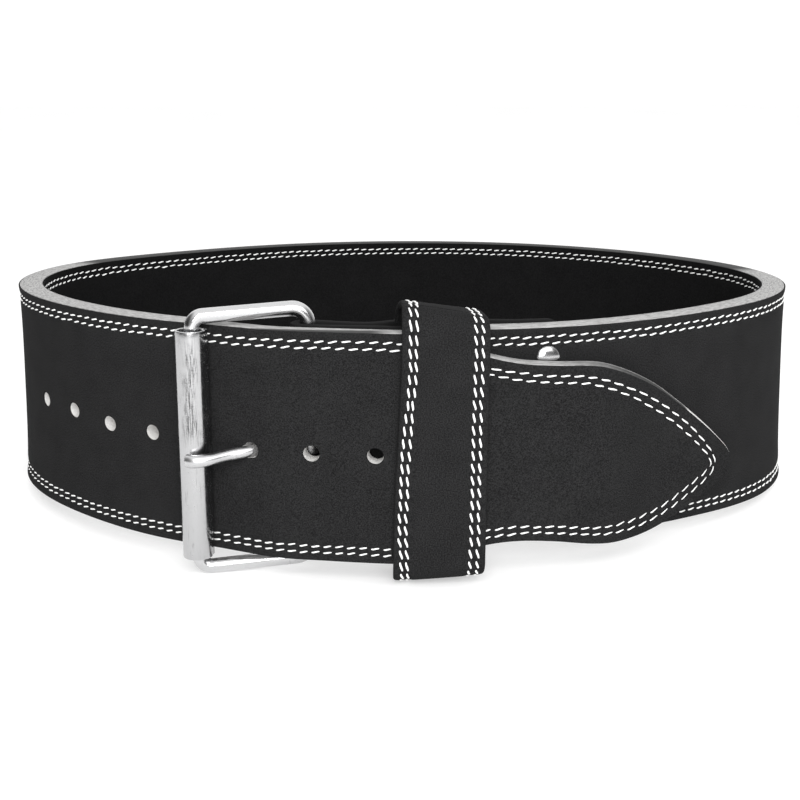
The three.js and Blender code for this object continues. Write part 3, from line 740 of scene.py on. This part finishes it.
def keeperPinch(across):
    grooves = sum(np.exp(-(((across - row) / strap["grooveWidth"]) ** 2)) for row in keeper["rows"])
    shoulder = np.minimum(across, keeper["width"] - across)
    dip = keeper["edgeDip"] * np.exp(-((shoulder / keeper["edgeReach"]) ** 2))
    return keeper["grooveDepth"] * np.minimum(grooves, 1.1) + dip


def makeKeeper():
    path, *loop = keeperPath()
    guide = guideCurve("keeperGuide", path, closed=True)
    closed = np.vstack([path, path[:1]])
    length = pathLength(closed)
    columns, rows = 170, 33
    band, column, row, isInner = flatSheet("keeper_loop_suede", columns + 1, rows)
    along = length * column / columns
    across = keeper["width"] * row / (rows - 1)
    out = np.where(isInner, -keeper["thick"], -keeperPinch(across))
    movePoints(band, np.column_stack([along, across, out]))
    bevelled(band, 0.0007, 3)
    smoothed(merged(rollKeeper(band, guide, *loop), 2e-5, turnOut=False))
    count = round(length / stitch["keeperPitch"])
    pitch = length / count
    rowPieces = []
    for place in keeper["rows"]:
        row = oneStitch(stitch["keeperLength"], stitch["keeperThick"], stitch["keeperSlant"])
        arrayed(row, count, pitch)
        points = readPoints(row)
        points[:, 1] += place
        if place < keeper["width"] / 2:
            wander = ease(points[:, 0], 0.03, 0.065) * (1 - ease(points[:, 0], 0.09, 0.125))
            points[:, 1] -= keeper["wander"] * wander
        index = np.rint(points[:, 0] / pitch).astype(int)
        shift, slope = stitchChance.normal(size=(2, count + 1))
        points[:, 1] += stitch["shift"] * shift[index]
        points[:, 1] += stitch["ownKeeperSlope"] * slope[index] * (points[:, 0] - index * pitch)
        points[:, 2] -= keeperPinch(points[:, 1])
        movePoints(row, points)
        rowPieces.append(row)
    threads = joined("keeper_stitches", rowPieces)
    rollKeeper(threads, guide, *loop)
    smoothed(threads, 60)
    print("keeper made")
    return band, threads


fold = {"thick": 0.0042, "inset": 0.0008, "proud": 0.0017, "slotMargin": 0.0015, "pinch": 0.0036,
        "flapEnd": 0.078, "cornerRadius": 0.009, "pastKeeper": 0.0368}


# where the bar and the roller's rod stand
def bucklePlaces():
    radius, gap = buckle["rod"] / 2, buckle["gap"]
    rollerOut = float(liftAt(overlap + buckle["rollerStation"])) + gap + buckle["rollerDiameter"] / 2
    play = buckle["rollerDiameter"] / 2 - buckle["rollerWall"] - radius - gap
    roller, tangent, normal = onBelt(buckle["rollerStation"], rollerOut)
    rod = onBelt(buckle["rollerStation"], rollerOut - play)[0]
    foldRadius = radius + gap + fold["thick"]
    station = buckle["rollerStation"] + buckle["length"]
    for _ in range(6):
        inner = float(liftAt(overlap + station - foldRadius)) - strap["tongueThick"]
        out = inner - gap - foldRadius
        station = buckle["rollerStation"] + math.sqrt(buckle["length"] ** 2 - (rollerOut - play - out) ** 2)
    bar = rod + (onBelt(station, out)[0] - rod).normalized() * buckle["length"]
    return roller, rod, bar, rollerOut, tangent


rollerCentre, rodCentre, barCentre, rollerOut, rollerTangent = bucklePlaces()
frameHalf = strap["width"] / 2 + buckle["clearance"] + buckle["rod"] / 2
frameMiddle = strap["width"] / 2 - buckle["drop"]


# the buckle's frame: one bent rod
def makeFrame():
    along = (barCentre - rodCentre).normalized()
    up = Vector((0, 0, 1))
    points = []
    atRoller, atBar = frameMiddle - buckle["tilt"] / 2, frameMiddle + buckle["tilt"] / 2
    corners = [
        (rodCentre, along, atRoller + frameHalf, -1, buckle["rollerCorner"], False),
        (barCentre, -along, atBar + frameHalf, -1, buckle["barCorner"], True),
        (barCentre, -along, atBar - frameHalf, 1, buckle["barCorner"], False),
        (rodCentre, along, atRoller - frameHalf, 1, buckle["rollerCorner"], True),
    ]
    for plan, inward, height, vertical, radius, sideFirst in corners:
        centre = Vector((plan.x, plan.y, height)) + inward * radius + up * vertical * radius
        for angle in np.linspace(0, math.pi / 2, 12):
            turn = math.pi / 2 - angle if sideFirst else angle
            points.append(centre - inward * radius * math.cos(turn) - up * vertical * radius * math.sin(turn))
    path = []
    for i, point in enumerate(points):
        path.append(point)
        ahead = points[(i + 1) % len(points)]
        if (ahead - point).length > 0.01:
            path += [point.lerp(ahead, k / 8) for k in range(1, 8)]
    rod = tube("buckle_frame_rod", path, buckle["rod"] / 2, 32, "POLY", closed=True)
    return smoothed(stand(rod), 60)


# the roller: a sheet rolled round the rod, its seam's lips curled out at the back
def makeRoller():
    wall = buckle["rollerSheet"]
    radius = buckle["rollerDiameter"] / 2
    facing = math.atan2(rollerTangent.y, rollerTangent.x)
    turn = facing + np.linspace(*np.radians(buckle["sheetAngles"]), 60)
    arc = np.column_stack([np.cos(turn), np.sin(turn)]) * radius
    outwards = turn[-1] + buckle["lipTurn"]
    lip = arc[-1] + np.array([math.cos(outwards), math.sin(outwards)]) * buckle["lip"]
    path = np.vstack([arc, lip]) + np.array([rollerCentre.x, rollerCentre.y])
    length = pathLength(path)
    guide = guideCurve("rollerGuide", path)
    columns, rows = 90, 30
    sheet, column, row, isInner = flatSheet("buckle_roller_tube", columns + 1, rows + 1)
    half = frameHalf - buckle["rod"] / 2 - buckle["rollerEndPlay"]
    height = strap["width"] / 2 - buckle["rollerDrop"] + half * (2 * row / rows - 1)
    points = np.column_stack([length * column / columns, height, np.where(isInner, -wall, 0)])
    movePoints(sheet, points)
    bevelled(sheet, 0.00035, 3)
    bendAlong(sheet, guide)
    return smoothed(stand(sheet), 40)


# the prong: an eye rolled round the bar, then a rod through its hole and over the roller
def makeProng():
    radius = buckle["prong"] / 2
    eyeHeight, tipHeight = prongHeight, prongHeight - buckle["prongDrop"]
    back = (rodCentre - barCentre).normalized()
    reach = buckle["rod"] / 2 + buckle["gap"] + radius
    start = barCentre + back * reach
    rest = buckle["rollerDiameter"] / 2 + buckle["gap"] + radius
    over = onBelt(buckle["rollerStation"], rollerOut + rest, tipHeight)[0]
    through = [onBelt(station, depth, height)[0] for station, height, depth in prongWay()[1:-1]]
    points = [
        Vector((start.x, start.y, eyeHeight)),
        *through,
        over + rollerTangent * (radius + buckle["rollerDiameter"] / 4),
        over + rollerTangent * buckle["prongShort"],
    ]
    rod = tube("buckle_prong_rod", points, radius, 28)
    bevelled(rod, 0.0003, 3, 50)
    # its end is hammered a little wider
    places = readPoints(rod)
    towardsEnd = 1 - ease(np.hypot(places[:, 0] - points[-1].x, places[:, 1] - points[-1].y), 0.002, 0.014)
    places[:, 2] = tipHeight + (places[:, 2] - tipHeight) * (1 + buckle["prongWidening"] * towardsEnd)
    movePoints(rod, places)
    wall = buckle["prongEyeWall"]
    inner = buckle["rod"] / 2 + buckle["gap"]
    facing = math.atan2(back.y, back.x)
    turn = np.linspace(facing + 0.2, facing + 2 * math.pi + 0.15, 60)
    path = np.column_stack([np.cos(turn), np.sin(turn)]) * (inner + wall) + np.array(barCentre.xy)
    length = pathLength(path)
    eye, column, row, isInner = flatSheet("eye", 61, 9)
    width = buckle["prongEyeWidth"]
    movePoints(eye, np.column_stack([length * column / 60, eyeHeight - width / 2 + width * row / 8,
                                     np.where(isInner, -wall, 0)]))
    bevelled(eye, 0.0005)
    bendAlong(eye, guideCurve("eyeGuide", path))
    applyModifier(rod, "BOOLEAN", operation="UNION", solver="EXACT", object=eye)
    bpy.data.objects.remove(eye)
    return smoothed(stand(rod), 40)


# where the rivets by the bar draw the two legs of the fold together
def foldPinch():
    inner = float(liftAt(overlap + rivet["barColumn"])) - strap["tongueThick"]
    outer = inner - buckle["gap"] - rivet["headHeight"] - fold["thick"] / 2
    return outer, outer - fold["thick"] - fold["pinch"]


pinchOuter, pinchInner = foldPinch()
onStrapDepth = -strap["bodyThick"] - buckle["gap"] - fold["thick"] / 2
underKeeperDepth = onStrapDepth - keeper["thick"] - buckle["gap"]


def innerLeg(station):
    if station > keeper["from"]:
        share = ease(station, keeper["from"] + fold["pastKeeper"], rivet["column"] - rivet["burr"] / 2)
        return underKeeperDepth + (onStrapDepth - underKeeperDepth) * float(share)
    share = ease(station, rivet["barColumn"] + rivet["head"] / 2, keeper["from"])
    return pinchInner + (underKeeperDepth - pinchInner) * float(share)


def outerLeg(station):
    share = ease(station, rivet["barColumn"] + rivet["head"] / 2, strap["start"])
    return pinchOuter + (-fold["thick"] / 2 - pinchOuter) * float(share)


# the fold that holds the bar: from its flap inside the strap, round the bar, to the strap's end
def makeFold():
    radius = buckle["rod"] / 2 + buckle["gap"] + fold["thick"] / 2
    _, tangent, normal = onBelt(buckle["rollerStation"] + buckle["length"], 0)
    flatEnd = rivet["barColumn"] - rivet["head"] / 2
    inner = [onBelt(s, innerLeg(s))[0] for s in np.linspace(fold["flapEnd"], flatEnd, 40)]
    turned = [barCentre + (tangent * math.cos(a) + normal * math.sin(a)) * radius
              for a in np.radians(np.arange(280, 79, -8))]
    outer = [onBelt(s, outerLeg(s))[0] for s in np.linspace(flatEnd, strap["start"] - buckle["gap"], 12)]
    rough = np.array([(p.x, p.y) for p in inner + turned + outer])
    for _ in range(3):
        rough[1:-1] = (rough[:-2] + 2 * rough[1:-1] + rough[2:]) / 4
    length = pathLength(rough)
    columns, rows = 150, 24
    band, column, row, isInner = flatSheet("buckle_fold_leather", columns + 1, rows + 1)
    along = length * column / columns
    corner = fold["cornerRadius"]
    inset = corner - np.sqrt(np.maximum(corner**2 - np.maximum(corner - along, 0) ** 2, 0))
    bottom, top = edgesAt(strap["start"])
    top += fold["proud"]
    half = (top - bottom) / 2 - fold["inset"] - inset
    height = (top + bottom) / 2 + half * (2 * row / rows - 1)
    out = np.where(isInner, -fold["thick"] / 2, fold["thick"] / 2)
    movePoints(band, np.column_stack([along, height, out]))
    bevelled(band, 0.0006)
    bendAlong(band, guideCurve("foldGuide", rough))
    eyeReach = buckle["rod"] / 2 + buckle["gap"] + buckle["prongEyeWall"] + fold["slotMargin"]
    middle = (barCentre.x - fold["slotMargin"], barCentre.y, prongHeight)
    bpy.ops.mesh.primitive_cube_add(size=1, location=middle)
    slot = bpy.context.object
    slotWidth = buckle["prongEyeWidth"] + 2 * fold["slotMargin"]
    slot.scale = (2 * eyeReach, 6 * fold["thick"] + buckle["rod"], slotWidth)
    applyPlace(slot)
    bevelled(slot, 0.003, 4)
    cutBy(band, slot)
    bpy.data.objects.remove(slot)
    print("fold made")
    return smoothed(stand(band))


# a rivet: its profile spun round its axis
def makeRivet(name, station, outer, inner, height):
    head, shank, burr = rivet["head"] / 2, rivet["shank"] / 2, rivet["burr"] / 2
    length, end, chamfer = outer - inner, -rivet["burrHeight"], rivet["chamfer"]
    dome = [(head * math.cos(a), length + rivet["headHeight"] * math.sin(a) ** 1.1)
            for a in np.linspace(0, math.pi / 2, 10)]
    profile = [(0, end), (burr - chamfer, end), (burr, end + chamfer), (burr, 0), (shank, 0), (shank, length),
               (head - chamfer, length - chamfer / 3)] + dome
    profile[-1] = (0, profile[-1][1])
    bpy.ops.mesh.primitive_plane_add(size=0.001)
    obj = bpy.context.object
    obj.name = obj.data.name = name
    bpy.ops.object.mode_set(mode="EDIT")
    bpy.ops.mesh.select_all(action="SELECT")
    bpy.ops.mesh.merge(type="CENTER")
    bpy.ops.object.mode_set(mode="OBJECT")
    obj.data.vertices[0].co = (profile[0][0], 0, profile[0][1])
    bpy.ops.object.mode_set(mode="EDIT")
    bpy.ops.mesh.select_all(action="SELECT")
    for before, after in zip(profile, profile[1:]):
        bpy.ops.mesh.extrude_region_move(
            TRANSFORM_OT_translate={"value": (after[0] - before[0], 0, after[1] - before[1])})
    bpy.ops.mesh.select_all(action="SELECT")
    bpy.ops.mesh.spin(steps=48, angle=2 * math.pi, center=(0, 0, 0), axis=(0, 0, 1))
    bpy.ops.object.mode_set(mode="OBJECT")
    merged(obj)
    place, _, normal = onBelt(station, inner, height)
    obj.matrix_world = Matrix.Translation(place) @ normal.to_track_quat("Z", "Y").to_matrix().to_4x4()
    applyPlace(obj)
    return smoothed(stand(obj), 50)


def makeRivets():
    bottom, top = edgesAt(strap["start"])
    heights = {"upper": float(top) - rivet["edgeDistance"], "lower": float(bottom) + rivet["edgeDistance"]}
    made = {}
    half = fold["thick"] / 2
    spots = [("strap", rivet["column"], 0, onStrapDepth - half),
             ("bar", rivet["barColumn"], pinchOuter + half, pinchInner - half)]
    for level, height in heights.items():
        for spot, station, outer, inner in spots:
            node = f"rivet_{spot}_{level}"
            made[node] = makeRivet(node + "_steel", station, outer, inner, height)
    print("rivets made")
    return made


# Materials

number, vector = "NodeSocketFloat", "NodeSocketVector"


def nodeGroup(name, inputs, outputs):
    group = bpy.data.node_groups.new(name, "ShaderNodeTree")
    for socket, kind, value in inputs:
        made = group.interface.new_socket(socket, in_out="INPUT", socket_type=kind)
        if value is not None:
            made.default_value = value
    for socket in outputs:
        group.interface.new_socket(socket, in_out="OUTPUT", socket_type=number)
    return group, group.nodes.new("NodeGroupInput").outputs, group.nodes.new("NodeGroupOutput").inputs


def addNode(tree, kind, inputs=None, **values):
    made = tree.nodes.new(kind)
    for key, value in values.items():
        setattr(made, key, value)
    for key, value in (inputs or {}).items():
        if isinstance(value, bpy.types.NodeSocket):
            tree.links.new(value, made.inputs[key])
        else:
            made.inputs[key].default_value = value
    return made


def mathNode(tree, operation, first, second):
    return addNode(tree, "ShaderNodeMath", {0: first, 1: second}, operation=operation).outputs[0]


def noiseNode(tree, place, scale, detail=2.0, roughness=0.5):
    inputs = {"Vector": place, "Scale": scale, "Detail": detail, "Roughness": roughness}
    return addNode(tree, "ShaderNodeTexNoise", inputs).outputs["Fac"]


def rangeNode(tree, value, source, target=(0, 1), kind="LINEAR"):
    inputs = {"Value": value, "From Min": source[0], "From Max": source[1],
              "To Min": target[0], "To Max": target[1]}
    return addNode(tree, "ShaderNodeMapRange", inputs, interpolation_type=kind).outputs["Result"]


def scaled(tree, place, scale):
    return addNode(tree, "ShaderNodeMapping", {"Vector": place, "Scale": scale}).outputs["Vector"]


def axesOf(tree, place):
    return addNode(tree, "ShaderNodeSeparateXYZ", {"Vector": place}).outputs


def benchPlace(tree):
    return addNode(tree, "ShaderNodeAttribute", attribute_name="bench").outputs["Vector"]


def objectPlace(tree):
    return addNode(tree, "ShaderNodeTexCoord").outputs["Object"]


def mixColour(tree, mask, first, second):
    inputs = {0: mask}
    for socket, colour in ((6, first), (7, second)):
        inputs[socket] = colour if isinstance(colour, bpy.types.NodeSocket) else (*colour, 1)
    return addNode(tree, "ShaderNodeMix", inputs, data_type="RGBA").outputs[2]


def rampNode(tree, fac, stops):
    ramp = addNode(tree, "ShaderNodeValToRGB", {"Fac": fac})
    elements = ramp.color_ramp.elements
    for element, (place, colour) in zip(elements, stops):
        element.position = place
        element.color = (*colour, 1)
    return ramp.outputs["Color"]


def startMaterial(name, uniform):
    material = bpy.data.materials.new(name)
    material.use_nodes = True
    shader = material.node_tree.nodes["Principled BSDF"].inputs
    for socket, value in uniform.items():
        shader[socket].default_value = value
    return material, material.node_tree, shader


def bumpBy(tree, shader, height, strength, distance):
    bump = addNode(tree, "ShaderNodeBump", {"Height": height, "Strength": strength, "Distance": distance})
    tree.links.new(bump.outputs["Normal"], shader["Normal"])


# lays a colour over a material's own where the mask is 1
def layOver(material, mask, colour):
    tree = material.node_tree
    base = tree.nodes["Principled BSDF"].inputs["Base Color"]
    tree.links.new(mixColour(tree, mask, base.links[0].from_socket, colour), base)


# fine nap and faint soft patches, for every suede
def napGroup():
    group, given, result = nodeGroup(
        "suedeNap", [("Vector", vector, None), ("Grain", number, 1900), ("Patch", number, 70)],
        ["Height", "Nap"])
    fine = noiseNode(group, given["Vector"], given["Grain"], 3, 0.7)
    soft = noiseNode(group, given["Vector"], given["Patch"], 3)
    group.links.new(fine, result["Height"])
    group.links.new(mathNode(group, "ADD", fine, mathNode(group, "MULTIPLY", soft, 0.12)), result["Nap"])
    return group


# 1 between two values, 0 outside them, with soft ends
def bandGroup():
    group, given, result = nodeGroup(
        "softBand", [("Value", number, 0), ("Start", number, 0), ("End", number, 1), ("Blur", number, 0.01)],
        ["Mask"])
    later = mathNode(group, "ADD", given["Start"], given["Blur"])
    earlier = mathNode(group, "SUBTRACT", given["End"], given["Blur"])
    rise = rangeNode(group, given["Value"], (given["Start"], later), kind="SMOOTHSTEP")
    fall = rangeNode(group, given["Value"], (given["End"], earlier), kind="SMOOTHSTEP")
    group.links.new(mathNode(group, "MULTIPLY", rise, fall), result["Mask"])
    return group


# plated steel: fine drawn streaks, a few long scratches and soft dull patches
def steelGroup():
    group, given, result = nodeGroup(
        "steelWear", [("Vector", vector, None), ("Streak", number, 1500), ("Patch", number, 160)],
        ["Height", "Scratch", "Dull"])
    streak = noiseNode(group, scaled(group, given["Vector"], (1, 1, 0.06)), given["Streak"], 3, 0.6)
    patch = noiseNode(group, given["Vector"], given["Patch"], 5, 0.7)
    group.links.new(streak, result["Height"])
    group.links.new(rangeNode(group, streak, (0.6, 0.72)), result["Scratch"])
    group.links.new(rangeNode(group, patch, (0.42, 0.66)), result["Dull"])
    return group


nap, softBand, wear = napGroup(), bandGroup(), steelGroup()


def bandMask(tree, value, start, end, blur):
    inputs = {"Value": value, "Start": start, "End": end, "Blur": blur}
    return addNode(tree, "ShaderNodeGroup", inputs, node_tree=softBand).outputs["Mask"]


def suedeMaterial(name, dark, light, bump=0.0002):
    material, tree, shader = startMaterial(name, {"Roughness": 0.92, "Specular IOR Level": 0.05})
    grain = addNode(tree, "ShaderNodeGroup", {"Vector": benchPlace(tree)}, node_tree=nap).outputs
    tree.links.new(rampNode(tree, grain["Nap"], [(0.44, dark), (0.68, light)]), shader["Base Color"])
    bumpBy(tree, shader, grain["Height"], 0.5, bump)
    return material


# the fold is black too, but for a worn line along the middle of its upper edge
def foldMaterial(name, dark, light, worn):
    material = suedeMaterial(name, dark, light, 0.00015)
    tree = material.node_tree
    _, height, out = axesOf(tree, benchPlace(tree))
    top = edgesAt(strap["start"])[1] + fold["proud"] - fold["inset"]
    edge = bandMask(tree, height, top - 0.0005, 1, 0.0002)
    middle = bandMask(tree, out, -0.0011, 0.0011, 0.0005)
    layOver(material, mathNode(tree, "MULTIPLY", edge, middle), worn)
    return material


# cut leather edge with long fibres, with painted shade darkening it round the back,
# and darker along the tongue's outer side; each band has a start, an end and a blur
cutEdge = {
    # back: painted shade, darkening the edge round the back of the loop
    "back": (0.303, 0.814, 0.02),
    "behindKeeper": (overlap + 0.055, overlap + 0.4, 0.05),
    "byRoller": (overlap - 0.078, overlap - 0.001, 0.012),
    "outside": (0.0032, 0.03, 0.0024),
    "pastLowerEdge": (0.004, 0.06, 0.002),
    "upperHalf": (0.06, 0.2, 0.001),
    # holes: painted light, lightening the core's walls in the holes, which lie in shade
    "holes": (0.03, 0.07, 0.002),
}


def rawMaterial(name, dark, light, darkEdgeAndShade, litHoleColour):
    material, tree, shader = startMaterial(name, {"Roughness": 0.85, "Specular IOR Level": 0.2})
    bench = benchPlace(tree)
    fibre = noiseNode(tree, scaled(tree, bench, (0.16, 0.6, 0.9)), 1500, 4, 0.65)
    clean = rampNode(tree, fibre, [(0.36, dark), (0.6, light)])
    run, height, out = axesOf(tree, bench)
    # back is painted shade round the back of the loop; the tongue's bands only darken the edge
    back, behindKeeper, byRoller = (bandMask(tree, run, *cutEdge[key])
                                    for key in ("back", "behindKeeper", "byRoller"))
    along = mathNode(tree, "MAXIMUM", behindKeeper, byRoller)
    outside = bandMask(tree, out, *cutEdge["outside"])
    lowerEdge = mathNode(tree, "SUBTRACT", 1, bandMask(tree, height, *cutEdge["pastLowerEdge"]))
    edges = mathNode(tree, "MAXIMUM", lowerEdge, bandMask(tree, height, *cutEdge["upperHalf"]))
    tongue = mathNode(tree, "MULTIPLY", mathNode(tree, "MULTIPLY", along, outside), edges)
    # painted light: the core is painted lighter in the holes, where it lies in shade
    litHoleMask = mathNode(tree, "MULTIPLY", bandMask(tree, height, *cutEdge["holes"]), 0.6)
    cut = mixColour(tree, litHoleMask, clean, litHoleColour)
    # the dark edge colour: painted shade round the back, a plain darker edge on the tongue
    dull = mixColour(tree, fibre, *darkEdgeAndShade)
    tree.links.new(mixColour(tree, mathNode(tree, "MAXIMUM", back, tongue), cut, dull), shader["Base Color"])
    bumpBy(tree, shader, fibre, 0.4, 0.0002)
    return material


def steelMaterial(name, clean, worn, smooth, rough, bump):
    material, tree, shader = startMaterial(name, {"Metallic": 1})
    marks = addNode(tree, "ShaderNodeGroup", {"Vector": objectPlace(tree)}, node_tree=wear).outputs
    amount = mathNode(tree, "MULTIPLY", marks["Scratch"], marks["Dull"])
    tree.links.new(mixColour(tree, amount, clean, worn), shader["Base Color"])
    tree.links.new(rangeNode(tree, marks["Dull"], (0, 1), (smooth, rough)), shader["Roughness"])
    bumpBy(tree, shader, marks["Height"], 0.3, bump)
    return material


# a painted dark reflection, broken by streaks and pits, runs down the roller's side that faces the camera
def rollerMaterial(name):
    material = steelMaterial(name, (0.5, 0.5, 0.505), (0.24, 0.24, 0.24), 0.16, 0.3, 0.00003)
    tree = material.node_tree
    bench = benchPlace(tree)
    across, height, _ = axesOf(tree, bench)
    sway = mathNode(tree, "MULTIPLY", mathNode(tree, "SUBTRACT", noiseNode(tree, bench, 60), 0.5), 0.012)
    # the band round the roller where the dark reflection is painted
    turned = bandMask(tree, mathNode(tree, "ADD", across, sway), 0.0235, 0.032, 0.003)
    paintedReflection = mathNode(tree, "MULTIPLY", turned, bandMask(tree, height, 0.047, 0.099, 0.012))
    lines = noiseNode(tree, scaled(tree, bench, (1, 0.05, 1)), 1900, 3, 0.7)
    pits = noiseNode(tree, bench, 1500, 3, 0.8)
    marks = mathNode(tree, "ADD", mathNode(tree, "MULTIPLY", lines, 1.5),
                     mathNode(tree, "MULTIPLY", pits, 0.5))
    dark = rangeNode(tree, marks, (0.9, 1.2))
    # painted reflection: the stripe is laid over in dark grey
    layOver(material, mathNode(tree, "MULTIPLY", paintedReflection, dark), (0.07, 0.07, 0.07))
    return material


def threadMaterial(name, dark, light):
    material, tree, shader = startMaterial(name, {"Roughness": 0.6})
    twist = noiseNode(tree, objectPlace(tree), 3500)
    tree.links.new(rampNode(tree, twist, [(0.3, dark), (0.6, light)]), shader["Base Color"])
    bumpBy(tree, shader, twist, 0.4, 0.0001)
    return material


def paint(obj, material):
    obj.data.materials.clear()
    obj.data.materials.append(material)


# Stage

stage = {
    "camera": {"place": (0, -0.4817, 0.1908), "down": 0.2465, "roll": 0.0058, "lens": 53.163},
    # each lamp's place, what it points at, its width, its height and its power
    "lamps": [
        ((0.05, -1.35, 0.75), (0, -0.1, 0.05), 0.9, 1.1, 20),
        ((0.75, -1.0, 0.9), (0, 0, 0.05), 0.8, 0.8, 4),
    ],
    "floor": 12,
}


def makeCamera():
    view = stage["camera"]
    bpy.ops.object.camera_add()
    camera = bpy.context.object
    turn = Matrix.Rotation(math.pi / 2 - view["down"], 4, "X") @ Matrix.Rotation(view["roll"], 4, "Z")
    camera.matrix_world = standingMatrix @ Matrix.Translation(view["place"]) @ turn
    camera.data.lens = view["lens"]
    camera.data.sensor_width = 36
    camera.data.clip_start = 0.01
    camera.data.clip_end = 50
    bpy.context.scene.camera = camera
    print("camera placed")


def makeFloor():
    bpy.ops.mesh.primitive_plane_add(size=stage["floor"])
    floor = bpy.context.object
    floor.name = "pale_floor"
    material, tree, shader = startMaterial("pale_floor", {
        "Roughness": 0.9, "Specular IOR Level": 0.1,
        "Emission Color": (1, 1, 1, 1), "Emission Strength": 0.42,
    })
    cloud = noiseNode(tree, objectPlace(tree), 3)
    pale = rampNode(tree, cloud, [(0.3, (0.6, 0.6, 0.6)), (0.7, (0.63, 0.63, 0.63))])
    tree.links.new(pale, shader["Base Color"])
    paint(floor, material)


# soft light from above and behind, less of it from the sides, and two lamps in front
def makeLight():
    world = bpy.data.worlds.new("studio")
    bpy.context.scene.world = world
    world.use_nodes = True
    tree = world.node_tree
    across, away, up = axesOf(tree, addNode(tree, "ShaderNodeTexCoord").outputs["Generated"])
    behind = rangeNode(tree, away, (-0.25, 0.6), (0.3, 1.2), "SMOOTHSTEP")
    above = rangeNode(tree, up, (0.25, 0.8), (0.3, 1.2), "SMOOTHSTEP")
    left = rangeNode(tree, across, (-0.85, -0.45), (0.12, 1), "SMOOTHSTEP")
    right = rangeNode(tree, across, (0.5, 0.9), (1, 0.5), "SMOOTHSTEP")
    sides = mathNode(tree, "MULTIPLY", left, right)
    level = mathNode(tree, "MULTIPLY", sides, mathNode(tree, "MAXIMUM", behind, above))
    background = tree.nodes["Background"].inputs
    tree.links.new(level, background["Strength"])
    background["Color"].default_value = (1, 1, 1, 1)
    for place, aim, width, height, power in stage["lamps"]:
        bpy.ops.object.light_add(type="AREA", location=place)
        lamp = bpy.context.object
        lamp.data.shape = "RECTANGLE"
        lamp.data.size = width
        lamp.data.size_y = height
        lamp.data.energy = power
        lamp.rotation_euler = (Vector(aim) - Vector(place)).to_track_quat("-Z", "Y").to_euler()
    bpy.context.scene.view_settings.view_transform = "Standard"
    print("stage set")


makeCamera()
core, outerSuede, innerSuede = makeStrap()
outerStitches, innerStitches = makeStitches()
keeperBand, keeperThread = makeKeeper()
foldLeather = makeFold()
frameRod, roller, prong = makeFrame(), makeRoller(), makeProng()
print("buckle made")
rivets = makeRivets()
for guide in guides:
    bpy.data.objects.remove(guide)

black = suedeMaterial("black_suede", (0.0075, 0.0075, 0.0077), (0.0245, 0.0245, 0.025))
# painted shade: the inner facing is the same black suede, painted darker for the shade inside the loop
inside = suedeMaterial("inner_suede", (0.0035, 0.0035, 0.0036), (0.0095, 0.0095, 0.0097))
folded = foldMaterial("fold_suede", (0.007, 0.007, 0.0072), (0.017, 0.017, 0.0172), (0.5, 0.49, 0.48))
# raw edge: its dark pair is painted shade round the back, its last colour is painted light in the holes
raw = rawMaterial("raw_leather", (0.2, 0.198, 0.196), (0.47, 0.467, 0.463),
                  ((0.03, 0.03, 0.03), (0.08, 0.08, 0.079)), (0.86, 0.85, 0.83))
thread = threadMaterial("white_thread", (0.74, 0.74, 0.73), (0.94, 0.94, 0.93))
steel = steelMaterial("buckle_steel", (0.6, 0.6, 0.605), (0.34, 0.34, 0.34), 0.14, 0.26, 0.00002)
prongSteel = steelMaterial("prong_steel", (0.58, 0.58, 0.585), (0.34, 0.34, 0.34), 0.28, 0.38, 0.00004)
rollerSteel = rollerMaterial("roller_steel")
print("materials made")

# each piece, the node that it stands for, its slot and its material
finished = [
    (core, "belt_core", "raw_leather", raw),
    (outerSuede, "belt_outer_facing", "outer_suede", black),
    (innerSuede, "belt_inner_facing", "inner_suede", inside),
    (keeperBand, "keeper_loop", "keeper_suede", black),
    (foldLeather, "buckle_fold", "fold_suede", folded),
    (frameRod, "buckle_frame", "buckle_steel", steel),
    (roller, "buckle_roller", "roller_steel", rollerSteel),
    (prong, "buckle_prong", "buckle_steel", prongSteel),
]
finished += [(obj, None, "white_thread", thread) for obj in (outerStitches, innerStitches, keeperThread)]
finished += [(obj, node, "rivet_steel", steel) for node, obj in rivets.items()]
for obj, node, slotName, material in finished:
    paint(obj, material)
    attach(obj, "root")
    if node:
        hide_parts(node)

makeFloor()
makeLight()
